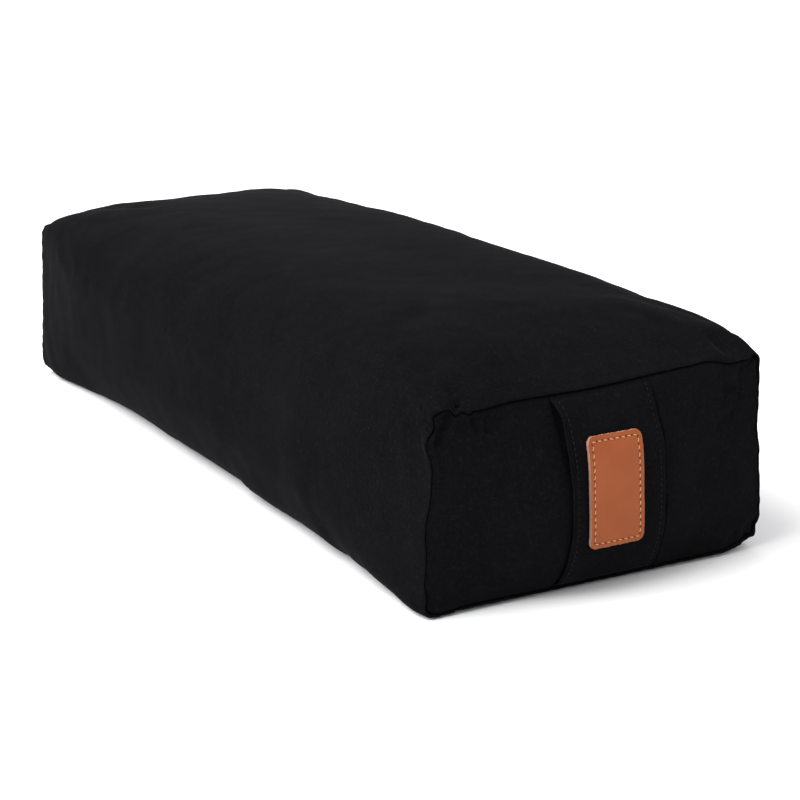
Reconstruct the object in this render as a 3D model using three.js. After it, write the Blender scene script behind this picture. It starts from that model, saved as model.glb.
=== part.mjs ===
// A rectangular yoga bolster: a cotton cover filled with loose hulls, lying on its broad side.
// A wrap panel goes round the long way, an end panel is sewn in at each end, and a carrying band with a
// leather patch is sewn over one end. Millimetres, +Z up. The origin is the middle of the resting face, and
// +X runs along the bolster towards the band.
import * as THREE from "three";

// Cut sizes of the cover
const LENGTH = 625; // from end seam to end seam, along X
const WIDTH = 238; // of an end panel, along Y
const HEIGHT = 122; // of an end panel, along Z
const CLOTH = 1.5; // thickness of an end panel
const GAP = 0.3; // air between two pieces that are sewn or laid together

// How the filling swells the cover between its seams
const CROWN = 29.5; // rise of the top over the end seams
const CROWN_REACH = 280; // distance from a seam over which the top rises
const CROWN_POWER = 6;
const RELAX_REACH = 150; // distance from a seam over which the square section turns round
const RELAX_POWER = 1.6;
const ROUND_SEAM = 30; // power of the section's outline at a seam, nearly square
const ROUND_MIDDLE = 3.4; // the same at mid length, well rounded
const BULGE = 9; // how much each long side swells at mid length
const WAIST = 0.56; // height of the widest line at mid length, as a share of the height
const SETTLE = 16; // how far the filling would press the round section through the floor
const SPREAD = 2.4; // how much the weight widens the foot of each side and narrows its head
const SEAM_LIFT = 3; // height of the bottom end seams over the floor
const LIFT_REACH = 24; // distance from a seam over which the underside comes down
const LIFT_POWER = 2;

// The end panels
const END_CROWN = 13; // bulge of an end panel
const END_POWER = 2.4;
const SEAM_ROLL = 5; // distance over which the wrap panel rolls into an end seam
const SEAM_INSET = 2.2; // depth to which it rolls in
const RIM_TURN = 1.8; // how far an end panel's rim turns back into the seam
const RIM_REACH = 0.07; // width of that turn, as a share of half the panel
const RIM_AIR = 0.6; // air round an end panel's rim, inside the seam
const RIM_SPARE = 4; // extra air behind the turned rim, as a multiple of GAP
const RIM_POWER = 8; // how closely that extra air keeps to the rim

// The carrying band and its patch
const BAND_WIDTH = 68; // where it is sewn in
const BAND_NECK = 2; // how much narrower it is in the middle
const BAND_THICK = 2.2;
const BAND_BOW = 20; // how far the band's middle plane stands out from the end seams
const BAND_POWER = 3;
const BAND_ROOT = 0.5; // how far out that plane is where the band is sewn in
const BAND_SLANT = 5; // how far sideways the band's foot lies from its head
const BAND_SHIFT = -1; // of the band's middle from the end panel's
const PATCH_WIDTH = 40;
const PATCH_LENGTH = 70;
const PATCH_THICK = 2.4;
const PATCH_CORNER = 5;
const PATCH_SHIFT = -1.5; // sideways from the band's own middle line

// Numbers of faces along each piece, and how much they crowd towards its seams
const FACES = { along: 44, across: 24, up: 12, bandAcross: 8, bandUp: 24, patchAcross: 6, patchUp: 12, corner: 3 };
const CROWDING = { along: 0.76, across: 0.5, up: 0.45 };

// Puckers, ears and lumps: the cloth is pushed along a line between two points, and less and less up to a
// reach from it. A point is [distance in from the end seam, Y, Z], and end is 1 at the band, -1 at the far
// end; push is along X (outwards), Y and Z. The front side is the long side at -Y.
const FOLDS = [
  // The band end's head corner on the front side, where the cloth is gathered
  { end: 1, from: [26, -93, 138], to: [-2, -88, 118], push: [0, 0, -3.6], reach: 10 },
  { end: 1, from: [10, -106, 126], to: [-2, -104, 118], push: [1, 0, 3.4], reach: 11 },
  { end: 1, from: [10, -72, 130], to: [-2, -72, 118], push: [0, 0, 1.4], reach: 12 },
  { end: 1, from: [3, -117, 121], to: [0, -118, 112], push: [0, -2.4, -2.6], reach: 9 },
  { end: 1, from: [-6, -104, 112], to: [-6, -110, 92], push: [-2.6, 0, 0], reach: 9 },
  { end: 1, from: [-8, -86, 114], to: [-10, -82, 102], push: [-2.4, 0, 0], reach: 9 },
  { end: 1, from: [12, -119, 104], to: [10, -120, 84], push: [0, 2.6, 0], reach: 12 },
  // The band end's head corner on the back side
  { end: 1, from: [5, 116, 124], to: [-1, 117, 118], push: [0, 0, 3.6], reach: 13 },
  { end: 1, from: [22, 100, 136], to: [0, 101, 118], push: [0, 0, -2.2], reach: 10 },
  { end: 1, from: [14, 96, 132], to: [60, 96, 146], push: [0, 0, 2.4], reach: 34 },
  { end: 1, from: [10, 86, 130], to: [-2, 86, 118], push: [0, 0, 3.4], reach: 13 },
  { end: 1, from: [-9, 78, 64], to: [-5, 104, 86], push: [-1.8, 0, 0], reach: 14 },
  { end: 1, from: [-7, 104, 108], to: [-9, 96, 84], push: [-2, 0, 0], reach: 10 },
  // The band end's foot corners
  { end: 1, from: [2, -120, 6], to: [44, -121, 10], push: [0, -0.8, 0], reach: 30 },
  { end: 1, from: [-3, -100, 12], to: [0, -112, 8], push: [0.6, 0, -2.4], reach: 14 },
  { end: 1, from: [4, 114, 4], to: [-2, 117, 8], push: [-2.4, -2.4, 5], reach: 14 },
  { end: 1, from: [8, 101, 2], to: [-3, 101, 9], push: [-1.4, 0, 3], reach: 8 },
  // The plain end, with a fan of soft creases at its head corner on the front side
  { end: -1, from: [20, -112, 122], to: [52, -124, 100], push: [0, 3.4, -1.4], reach: 13 },
  { end: -1, from: [54, -106, 136], to: [40, -120, 108], push: [0, 2.8, -1.6], reach: 11 },
  { end: -1, from: [16, -96, 134], to: [52, -92, 146], push: [0, 0.6, -1.6], reach: 13 },
  { end: -1, from: [4, -116, 122], to: [-1, -116, 112], push: [-1, 1.4, -1], reach: 14 },
  { end: -1, from: [0, -119, 4], to: [12, -119, 6], push: [0, 1.6, 1], reach: 22 },
  { end: -1, from: [20, 96, 134], to: [-2, 92, 118], push: [0, 0, -3], reach: 12 },
  { end: -1, from: [8, 112, 124], to: [-2, 113, 118], push: [0, 0, 2.4], reach: 12 },
  { end: -1, from: [-7, 84, 72], to: [-5, 106, 96], push: [-2.2, 0, 0], reach: 14 },
  { end: -1, from: [-8, -88, 104], to: [-5, -106, 80], push: [-2.4, 0, 0], reach: 13 },
  // Broad lumps of the filling
  { end: 1, from: [190, 80, 148], to: [300, 80, 148], push: [0, 0, 3], reach: 80 },
  { end: -1, from: [90, 80, 148], to: [150, 80, 148], push: [0, 0, -3.4], reach: 75 },
  { end: 1, from: [70, -124, 20], to: [130, -127, 24], push: [0, -2.2, 0], reach: 50 },
  { end: 1, from: [200, -128, 80], to: [240, -128, 74], push: [0, 2.4, 0], reach: 70 },
  { end: -1, from: [150, 128, 76], to: [210, 128, 70], push: [0, -2.4, 0], reach: 80 },
];

const half = LENGTH / 2;
const panelMiddle = (HEIGHT + SEAM_LIFT) / 2;
const bandHalf = (HEIGHT - SEAM_LIFT) / 2 - SEAM_INSET - BAND_ROOT;

// Grid positions from -1 to 1, crowded towards both ends.
function spread(index, count, crowding) {
  const t = (2 * index) / count - 1;
  return t + (crowding * Math.sin(Math.PI * t)) / Math.PI;
}

// 0 at a seam, rising to 1 at the given reach.
function rise(distance, reach, power) {
  return 1 - (1 - Math.min(distance / reach, 1)) ** power;
}

// The cover's section at a distance in from the nearer end seam. The point (a, b) of a square's outline goes
// to a rounded outline of the form |y|^power + |z|^power = 1; a smaller inset point lies inside it.
function sectionPoint(distance, a, b, inset) {
  const relaxed = rise(distance, RELAX_REACH, RELAX_POWER);
  const power = 1 / THREE.MathUtils.lerp(1 / ROUND_SEAM, 1 / ROUND_MIDDLE, relaxed);
  const top = HEIGHT + CROWN * rise(distance, CROWN_REACH, CROWN_POWER);
  const foot = SEAM_LIFT * (1 - rise(distance, LIFT_REACH, LIFT_POWER));
  const waist = THREE.MathUtils.lerp(panelMiddle, WAIST * top, relaxed);
  const pull = (Math.abs(a) ** power + Math.abs(b) ** power) ** (-1 / power) || 0;
  const reachUp = b > 0 ? top - waist : waist - foot + SETTLE * relaxed;
  const z = Math.max(waist + (reachUp - inset) * b * pull, 0);
  const side = WIDTH / 2 + BULGE * relaxed + SPREAD * (1 - z / panelMiddle) * (1 - relaxed);
  return { y: (side - inset) * a * pull, z };
}

// How far an end panel's outer face stands out from its seams' plane at (a, b), each from -1 to 1.
function panelCrown(a, b) {
  const rim = Math.max((Math.max(Math.abs(a), Math.abs(b)) - 1) / RIM_REACH + 1, 0);
  return END_CROWN * (1 - Math.abs(a) ** END_POWER) * (1 - Math.abs(b) ** END_POWER) - RIM_TURN * rim ** 2;
}

// An end panel's own point (a, b): the section at the seam, shrunk to a share of its size.
function panelPoint(a, b, inset) {
  const share = Math.max(Math.abs(a), Math.abs(b));
  if (share === 0) return { y: 0, z: panelMiddle };
  const rim = sectionPoint(0, a / share, b / share, inset);
  return { y: rim.y * share, z: panelMiddle + (rim.z - panelMiddle) * share };
}

// How far the folds push the cloth at a point of the cover's skin.
function foldPush(skin) {
  const push = new THREE.Vector3();
  for (const { end, from, to, push: [outwards, y, z], reach } of FOLDS) {
    const start = new THREE.Vector3(end * (half - from[0]), from[1], from[2]);
    const stop = new THREE.Vector3(end * (half - to[0]), to[1], to[2]);
    const nearest = new THREE.Line3(start, stop).closestPointToPoint(skin, true, new THREE.Vector3());
    const share = Math.min(skin.distanceTo(nearest) / reach, 1);
    push.addScaledVector(new THREE.Vector3(end * outwards, y, z), (1 - share ** 2) ** 2);
  }
  return push;
}

// A point moved by the folds that reach its place on the skin, and never below the resting plane.
function folded(point, skin) {
  const moved = point.add(foldPush(skin));
  return moved.setZ(Math.max(moved.z, 0));
}

// A closed box of gridded faces, each grid point placed by shape() from its three grid numbers. Opposite
// faces split their cells along the same diagonal, so that two pieces on one grid nest without touching.
function softBox(counts, shape) {
  const points = [];
  const known = new Map();
  const triangles = [];
  const corner = (grid) => {
    const key = grid.join();
    if (!known.has(key)) known.set(key, points.push(shape(...grid)) - 1);
    return known.get(key);
  };
  for (let axis = 0; axis < 3; axis++) {
    const [u, v] = [(axis + 1) % 3, (axis + 2) % 3];
    for (const side of [0, counts[axis]]) {
      for (let p = 0; p < counts[u]; p++) {
        for (let q = 0; q < counts[v]; q++) {
          const [low, right, high, left] = [[0, 0], [1, 0], [1, 1], [0, 1]].map(([du, dv]) => {
            const grid = [0, 0, 0];
            grid[axis] = side;
            grid[u] = p + du;
            grid[v] = q + dv;
            return corner(grid);
          });
          triangles.push(low, high, ...(side > 0 ? [left, low, right, high] : [right, low, left, high]));
        }
      }
    }
  }
  const geometry = new THREE.BufferGeometry().setFromPoints(points).setIndex(triangles);
  geometry.computeVertexNormals();
  return geometry;
}

// A point of an end, at a depth below the end panel's outer face. A rim point lies a little inside the seam.
function endPoint(end, a, b, inset, depth) {
  const outer = panelPoint(a, b, 0);
  const inner = panelPoint(a, b, SEAM_INSET + inset);
  const crown = panelCrown(a, b);
  const skin = new THREE.Vector3(end * (half + crown), outer.y, outer.z);
  return folded(new THREE.Vector3(end * (half + crown - depth), inner.y, inner.z), skin);
}

// The filled cover. Its wrap panel rolls into each end seam, round a shallow recess for the end panel.
function coverGeometry() {
  const { along, across, up } = FACES;
  return softBox([along, across, up], (i, j, k) => {
    const a = spread(j, across, CROWDING.across);
    const b = spread(k, up, CROWDING.up);
    const end = 2 * i < along ? -1 : 1;
    if (i === 0 || i === along) {
      const edge = Math.max(Math.abs(a), Math.abs(b));
      const air = GAP * (1 + RIM_SPARE * edge ** RIM_POWER);
      return endPoint(end, a, b, edge < 1 ? RIM_AIR : 0, CLOTH + air);
    }
    const distance = half * (1 - Math.abs(spread(i - 1, along - 2, CROWDING.along)));
    const roll = Math.max(1 - distance / SEAM_ROLL, 0);
    const outer = sectionPoint(distance, a, b, 0);
    const inner = sectionPoint(distance, a, b, SEAM_INSET * (1 - Math.sqrt(1 - roll ** 2)));
    const skin = new THREE.Vector3(end * (half - distance), outer.y, outer.z);
    return folded(new THREE.Vector3(skin.x, inner.y, inner.z), skin);
  });
}

// An end panel: a sheet over the cover's end, its rim turned into the seam.
function endPanelGeometry(end) {
  const { across, up } = FACES;
  return softBox([1, across, up], (i, j, k) => {
    const a = spread(j, across, CROWDING.across);
    const b = spread(k, up, CROWDING.up);
    return endPoint(end, a, b, RIM_AIR, (i === 1) === (end === 1) ? 0 : CLOTH);
  });
}

// A point of the carrying band: t runs up its middle plane from -1 to 1, y is across it from its own middle
// line, and out is the distance from the middle plane. It stands off the end panel between its two seams.
function bandPoint(t, y, out) {
  const bow = BAND_BOW - BAND_ROOT;
  const slope = (bow * BAND_POWER * Math.sign(t) * Math.abs(t) ** (BAND_POWER - 1)) / bandHalf;
  const outwards = new THREE.Vector3(1, 0, slope).normalize();
  const x = half + BAND_ROOT + bow * (1 - Math.abs(t) ** BAND_POWER);
  const sideways = BAND_SHIFT + y - (BAND_SLANT / 2) * t;
  return new THREE.Vector3(x, sideways, panelMiddle + bandHalf * t).addScaledVector(outwards, out);
}

// The carrying band, a folded strip of the cover's cloth.
function bandGeometry() {
  const { bandAcross, bandUp } = FACES;
  return softBox([1, bandAcross, bandUp], (i, j, k) => {
    const t = spread(k, bandUp, 0);
    const width = BAND_WIDTH - BAND_NECK * (1 - t ** 2);
    return bandPoint(t, (j / bandAcross - 0.5) * width, (i - 0.5) * BAND_THICK);
  });
}

// One row of the patch's grid: its height along the patch and half its width, less at the round corners.
function patchRow(k) {
  const { patchUp, corner } = FACES;
  const straight = PATCH_LENGTH / 2 - PATCH_CORNER;
  const fromMiddle = k - patchUp / 2 - corner;
  const rows = Math.abs(fromMiddle);
  const along = straight * Math.min(rows / (patchUp / 2), 1);
  const angle = Math.max((rows - patchUp / 2) / corner, 0) * (Math.PI / 2);
  return {
    up: Math.sign(fromMiddle) * (along + PATCH_CORNER * Math.sin(angle)),
    wide: PATCH_WIDTH / 2 - PATCH_CORNER * (1 - Math.cos(angle)),
  };
}

// The leather patch, bent over the band's middle.
function patchGeometry() {
  const { patchAcross, patchUp, corner } = FACES;
  const rows = patchUp + 2 * corner;
  return softBox([1, patchAcross, rows], (i, j, k) => {
    const { up, wide } = patchRow(k);
    const out = BAND_THICK / 2 + GAP + i * PATCH_THICK;
    return bandPoint(up / bandHalf, PATCH_SHIFT + wide * ((2 * j) / patchAcross - 1), out);
  });
}

const cotton = (shade) => new THREE.MeshStandardMaterial({ color: shade, roughness: 0.95, metalness: 0 });
const leather = new THREE.MeshStandardMaterial({ color: 0xa55b3d, roughness: 0.6, metalness: 0 });

function piece(name, geometry, material) {
  const mesh = new THREE.Mesh(geometry, material);
  mesh.name = name;
  return mesh;
}

const bolster = new THREE.Group();
bolster.add(
  piece("filled_cover", coverGeometry(), cotton(0x1c1c21)),
  piece("end_panel_band", endPanelGeometry(1), cotton(0x17171a)),
  piece("end_panel_plain", endPanelGeometry(-1), cotton(0x17171a)),
  piece("carrying_band", bandGeometry(), cotton(0x151518)),
  piece("leather_patch", patchGeometry(), leather),
);

export default bolster;
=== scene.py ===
"""A black cotton yoga bolster with a carrying band and a leather patch, on a pale studio floor.

Metres, +Z up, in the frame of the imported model: the origin is the middle of the resting face, +X runs along
the bolster towards the carrying band, and the long side at -Y faces the camera.
"""

import logging
import math
from dataclasses import dataclass, field
from enum import Enum

import bpy
import numpy as np
from mathutils import Matrix, Vector
from numpy.typing import NDArray


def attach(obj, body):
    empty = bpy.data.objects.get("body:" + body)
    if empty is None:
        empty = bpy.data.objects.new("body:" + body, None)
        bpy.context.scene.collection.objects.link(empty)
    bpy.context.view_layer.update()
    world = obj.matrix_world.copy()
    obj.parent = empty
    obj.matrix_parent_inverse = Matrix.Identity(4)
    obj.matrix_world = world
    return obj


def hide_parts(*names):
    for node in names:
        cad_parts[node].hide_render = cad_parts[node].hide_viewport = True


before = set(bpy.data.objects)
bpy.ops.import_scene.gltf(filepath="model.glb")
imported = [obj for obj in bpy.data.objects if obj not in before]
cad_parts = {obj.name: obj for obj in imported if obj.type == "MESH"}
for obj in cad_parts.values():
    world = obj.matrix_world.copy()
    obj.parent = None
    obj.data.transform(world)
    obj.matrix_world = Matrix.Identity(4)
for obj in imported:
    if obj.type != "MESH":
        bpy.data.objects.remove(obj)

Array = NDArray[np.float64]
Indices = NDArray[np.int64]
Pair = tuple[float, float]
Triple = tuple[float, float, float]

MM = 0.001
TINY = 1e-9  # Keeps a division off zero, and a grid off its exact middle and edges
CURVE_STEPS = 400  # Enough to measure a length along a curve
CLOTH_UV = "cloth"
log = logging.getLogger("bolster")


class End(Enum):
    """The bolster's two ends, by the sign of their X."""

    BAND = 1
    PLAIN = -1


def rise(distance: Array, reach: float, power: float) -> Array:
    """0 at a seam, rising to 1 at the reach: 1 - (1 - distance / reach) ** power."""
    return 1 - (1 - np.clip(distance / reach, 0, 1)) ** power


def blend(low: Array | float, high: Array | float, share: Array | float) -> Array:
    """The value that lies at a share of the way from low to high."""
    return low + (high - low) * share


def smooth_rise(value: Array, low: float, high: float) -> Array:
    """0 below low, 1 above high, and 3 t^2 - 2 t^3 between them."""
    t = np.clip((value - low) / (high - low), 0, 1)
    return t * t * (3 - 2 * t)


def spread(count: int, crowding: float) -> Array:
    """Places from -1 to 1, count cells in all, crowded towards both ends: t + crowding sin(pi t) / pi."""
    t = np.linspace(-1, 1, count + 1)
    return t + crowding * np.sin(math.pi * t) / math.pi


def grid_normals(points: Array, closed: bool) -> Array:
    """Unit normals of a grid of points: its column direction crossed with its row direction.

    Args:
        points: Rows by columns by 3.
        closed: Whether the last column meets the first.

    Returns:
        A unit vector for each point.
    """
    along = np.gradient(points, axis=0)
    if closed:
        around = np.roll(points, -1, axis=1) - np.roll(points, 1, axis=1)
    else:
        around = np.gradient(points, axis=1)
    normal = np.cross(around, along)
    return normal / np.maximum(np.linalg.norm(normal, axis=-1, keepdims=True), TINY)


def cubic_weights(place: Array, count: int, closed: bool) -> Array:
    """Weights that read a smooth curve through evenly numbered values (Catmull and Rom's cubic).

    Args:
        place: Where to read, counted in values from 0.
        count: How many values there are.
        closed: Whether the last value is followed by the first.

    Returns:
        One row of weights for each place.
    """
    first = np.floor(place).astype(int)
    t = place - first
    parts = [
        (-t + 2 * t**2 - t**3) / 2,
        (2 - 5 * t**2 + 3 * t**3) / 2,
        (t + 4 * t**2 - 3 * t**3) / 2,
        (t**3 - t**2) / 2,
    ]
    weights = np.zeros((len(place), count))
    rows = np.arange(len(place))
    for step, part in enumerate(parts):
        column = first + step - 1
        column = column % count if closed else np.clip(column, 0, count - 1)
        np.add.at(weights, (rows, column), part)
    return weights


def bell(offset: Array, width: Array | float) -> Array:
    """A bell-shaped bump of height 1: exp(-(offset / width)^2)."""
    return np.exp(-((offset / width) ** 2))


def run_along(path: Array) -> Array:
    """The distance along a path of points, from its first point to each of them."""
    return np.concatenate([[0], np.cumsum(np.linalg.norm(np.diff(path, axis=0), axis=1))])


def listed(grids: list[Array]) -> Array:
    """All the points of some grids, one after another."""
    return np.concatenate([grid.reshape(-1, 3) for grid in grids])


def averaging(places: Array, width: float, period: float = math.inf) -> Array:
    """Weights that average values over a bell, exp(-(distance / width)^2 / 2).

    Args:
        places: The places of the values, in order.
        width: The width of the bell.
        period: The length round the places, if they close.

    Returns:
        One row of weights for each place. A row adds up to 1.
    """
    apart = np.abs(places[:, None] - places)
    apart = np.minimum(apart, period - apart)
    weights = np.exp(-0.5 * (apart / width) ** 2) * np.abs(np.gradient(places))
    return weights / weights.sum(axis=1, keepdims=True)


@dataclass(frozen=True)
class Unevenness:
    """A smooth random height: seeded plane waves, whose lengths lie between two limits, added up."""

    seed: int
    shortest: float
    longest: float
    height: float
    waves: int = 28

    def at(self, points: Array) -> Array:
        """The height at some points; its root mean square is the height field.

        Args:
            points: The points, in metres, along the last axis.

        Returns:
            The sum of sines of the distance along each wave's own direction.
        """
        draw = np.random.default_rng(self.seed)
        way = draw.normal(size=(self.waves, 3))
        way /= np.linalg.norm(way, axis=1, keepdims=True)
        length = draw.uniform(self.shortest, self.longest, self.waves)
        phase = draw.uniform(0, 2 * math.pi, self.waves)
        turns = points @ (2 * math.pi * way / length[:, None]).T + phase
        return self.height * math.sqrt(2 / self.waves) * np.sin(turns).sum(axis=-1)


@dataclass(frozen=True)
class Fold:
    """A soft trough or ridge: the cloth is pushed along a line, less and less up to a reach from it.

    In millimetres. A point is (distance in from the end seam, Y, Z), and push is (outwards along X, Y, Z).
    """

    end: End
    start: Triple
    stop: Triple
    push: Triple
    reach: float

    def place(self, point: Triple, half: float) -> Array:
        """A point of the fold in metres, where the end seams lie at half from the middle."""
        return np.array([self.end.value * (half - point[0] * MM), point[1] * MM, point[2] * MM])

    def at(self, skin: Array, half: float) -> Array:
        """The push at each point of the skin, (1 - s^2)^2 of it at a share s of the reach.

        Args:
            skin: The points.
            half: Half the length between the end seams.

        Returns:
            The way that each point is moved.
        """
        start, stop = self.place(self.start, half), self.place(self.stop, half)
        line = stop - start
        along = np.clip(((skin - start) @ line) / max(line @ line, TINY), 0, 1)
        away = np.linalg.norm(skin - start - along[..., None] * line, axis=-1)
        share = np.minimum(away / (self.reach * MM), 1)
        push = np.array([self.end.value * self.push[0], self.push[1], self.push[2]]) * MM
        return ((1 - share**2) ** 2)[..., None] * push


FOLDS = (
    # The band end's head seam on the front side, drawn down beside a small tuck at the corner
    Fold(End.BAND, (4, -86, 124), (-2, -86, 120), (0, 0, -2.2), 24),
    Fold(End.BAND, (8, -105, 127), (-2, -105, 118), (0, 0, 1.3), 9),
    Fold(End.BAND, (0, -118, 114.5), (0, -118, 113.5), (0, 3.2, 0), 6),
    Fold(End.BAND, (0, -118, 104), (0, -118, 102), (0, -1.2, 0), 8),
    Fold(End.BAND, (0, -118, 86), (0, -118, 74), (0, 2.8, 0), 18),
    Fold(End.BAND, (0, -118, 35), (0, -118, 20), (0, 1.1, 0), 16),
    Fold(End.BAND, (0, -118, 10), (0, -118, 6), (0, 2.4, 0), 12),
    Fold(End.BAND, (6, -94.2, 125.6), (0, -100.5, 121.6), (0, 0, -2.6), 3),
    Fold(End.BAND, (12.5, -95.5, 128.9), (6, -94.2, 125.6), (0, 0, -1.8), 3),
    Fold(End.BAND, (6, -94.2, 125.6), (0, -91, 121.6), (0, 0, -1.6), 2.6),
    Fold(End.BAND, (8.5, -115.7, 122.3), (1, -116.3, 118.6), (0, 1.4, -1.4), 2.8),
    Fold(End.BAND, (-0.3, -105.6, 117.9), (-0.8, -111.6, 106.4), (-3.2, 0, 0), 4.5),
    Fold(End.BAND, (-0.3, -114.3, 111.8), (-0.8, -114.8, 80.8), (1.3, 0, 0), 2.6),
    Fold(End.BAND, (-1.4, -89.4, 117), (-2.4, -86.9, 110), (-2.4, 0, 0), 3.2),
    Fold(End.BAND, (-1.2, -80, 117), (-3, -81, 109), (-1.4, 0, 0), 3),
    Fold(End.BAND, (12, -119, 104), (10, -120, 84), (0, 2.6, 0), 12),
    # The band end's head seam on the back side, lifted towards the corner, which leans in
    Fold(End.BAND, (0, 85, 122), (0, 119, 122), (0, 0, 4.4), 105),
    Fold(End.BAND, (8, 96, 128), (-3, 96, 118), (0, 0, -3.1), 18),
    Fold(End.BAND, (4, 72, 125), (-2, 72, 120), (0, 0, 0.7), 9),
    Fold(End.BAND, (0, 121, 120), (0, 119, 90), (0, -3.4, 0), 50),
    Fold(End.BAND, (0, 119, 60), (0, 118, 20), (0, -1.7, 0), 40),
    Fold(End.BAND, (3, 109, 126), (-2, 109, 121), (0, 0, -1.4), 7),
    Fold(End.BAND, (14, 111, 130), (-1, 115, 122), (0, 0.6, 1.4), 9),
    Fold(End.BAND, (9, 94, 127), (17, 92, 131), (0, 0, -1.8), 8),
    Fold(End.BAND, (-3.4, 87.4, 105.5), (-3, 96.3, 104), (-1.6, 0, 0), 3.6),
    Fold(End.BAND, (-6.9, 81, 85), (-4.5, 94.7, 89.3), (-1.8, 0, 0), 5),
    Fold(End.BAND, (0, 51.6, 118), (-3, 52, 108), (-1.0, 0, 0), 3),
    Fold(End.BAND, (-1, 103, 117), (-3, 101, 98), (-1.6, 0, 0), 3.4),
    Fold(End.BAND, (0, 114, 82), (0, 114, 80), (0, -0.5, 0), 8),
    Fold(End.BAND, (0, 116, 65), (0, 116, 63), (0, 1, 0), 7),
    Fold(End.BAND, (0, 117, 51), (0, 117, 49), (0, -1.2, 0), 5),
    # The band end's foot corners
    Fold(End.BAND, (2, -120, 6), (44, -121, 10), (0, -0.8, 0), 30),
    Fold(End.BAND, (-3, -100, 12), (0, -112, 8), (0.6, 0, -2.4), 14),
    Fold(End.BAND, (4, 114, 4), (-2, 117, 8), (-2.4, -2.4, 5), 14),
    Fold(End.BAND, (8, 101, 2), (-3, 101, 9), (-1.4, 0, 3), 8),
    # The plain end, with a soft fan of creases at its head corner on the front side
    Fold(End.PLAIN, (11, -116, 122), (4, -116, 118), (0, 0.6, 0), 8),
    Fold(End.PLAIN, (18, -108, 128), (12, -112, 124), (0, 0, -1.4), 8),
    Fold(End.PLAIN, (60, -117, 122), (95, -125, 105), (0, 1.2, 0), 12),
    Fold(End.PLAIN, (16, -96, 134), (52, -92, 146), (0, 0.6, -1.0), 13),
    Fold(End.PLAIN, (0, -119, 4), (12, -119, 6), (0, 1.6, 1), 22),
    Fold(End.PLAIN, (20, 96, 134), (-2, 92, 118), (0, 0, -3), 12),
    Fold(End.PLAIN, (8, 112, 124), (-2, 113, 118), (0, 0, 2.4), 12),
    Fold(End.PLAIN, (-7, 84, 72), (-5, 106, 96), (-2.2, 0, 0), 14),
    Fold(End.PLAIN, (-8, -88, 104), (-5, -106, 80), (-2.4, 0, 0), 13),
    # Broad lumps of the filling
    Fold(End.BAND, (122, 96, 145), (146, 96, 145), (0, 0, 1.2), 34),
    Fold(End.BAND, (58, 103, 142), (66, 103, 142), (0, 0, -1.4), 30),
    Fold(End.PLAIN, (68, 94, 140), (84, 94, 141), (0, 0, -3.2), 42),
    Fold(End.BAND, (190, 80, 148), (380, 80, 148), (0, 0, 3), 80),
    Fold(End.BAND, (70, -124, 20), (130, -127, 24), (0, -2.2, 0), 50),
    Fold(End.BAND, (130, -112, 2), (235, -112, 2), (0, -4.6, 0), 34),
    Fold(End.BAND, (200, -128, 80), (240, -128, 74), (0, 2.4, 0), 70),
    Fold(End.PLAIN, (52, 50, 143), (44, 78, 140), (0, 0, 1.4), 26),
    Fold(End.PLAIN, (150, 128, 76), (210, 128, 70), (0, -2.4, 0), 80),
    Fold(End.PLAIN, (108, 88, 145), (128, 88, 145), (0, 0, -1.7), 36),
    Fold(End.PLAIN, (0, -118, 62), (0, -118, 105), (0, 1.9, 0), 62),
)


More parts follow.
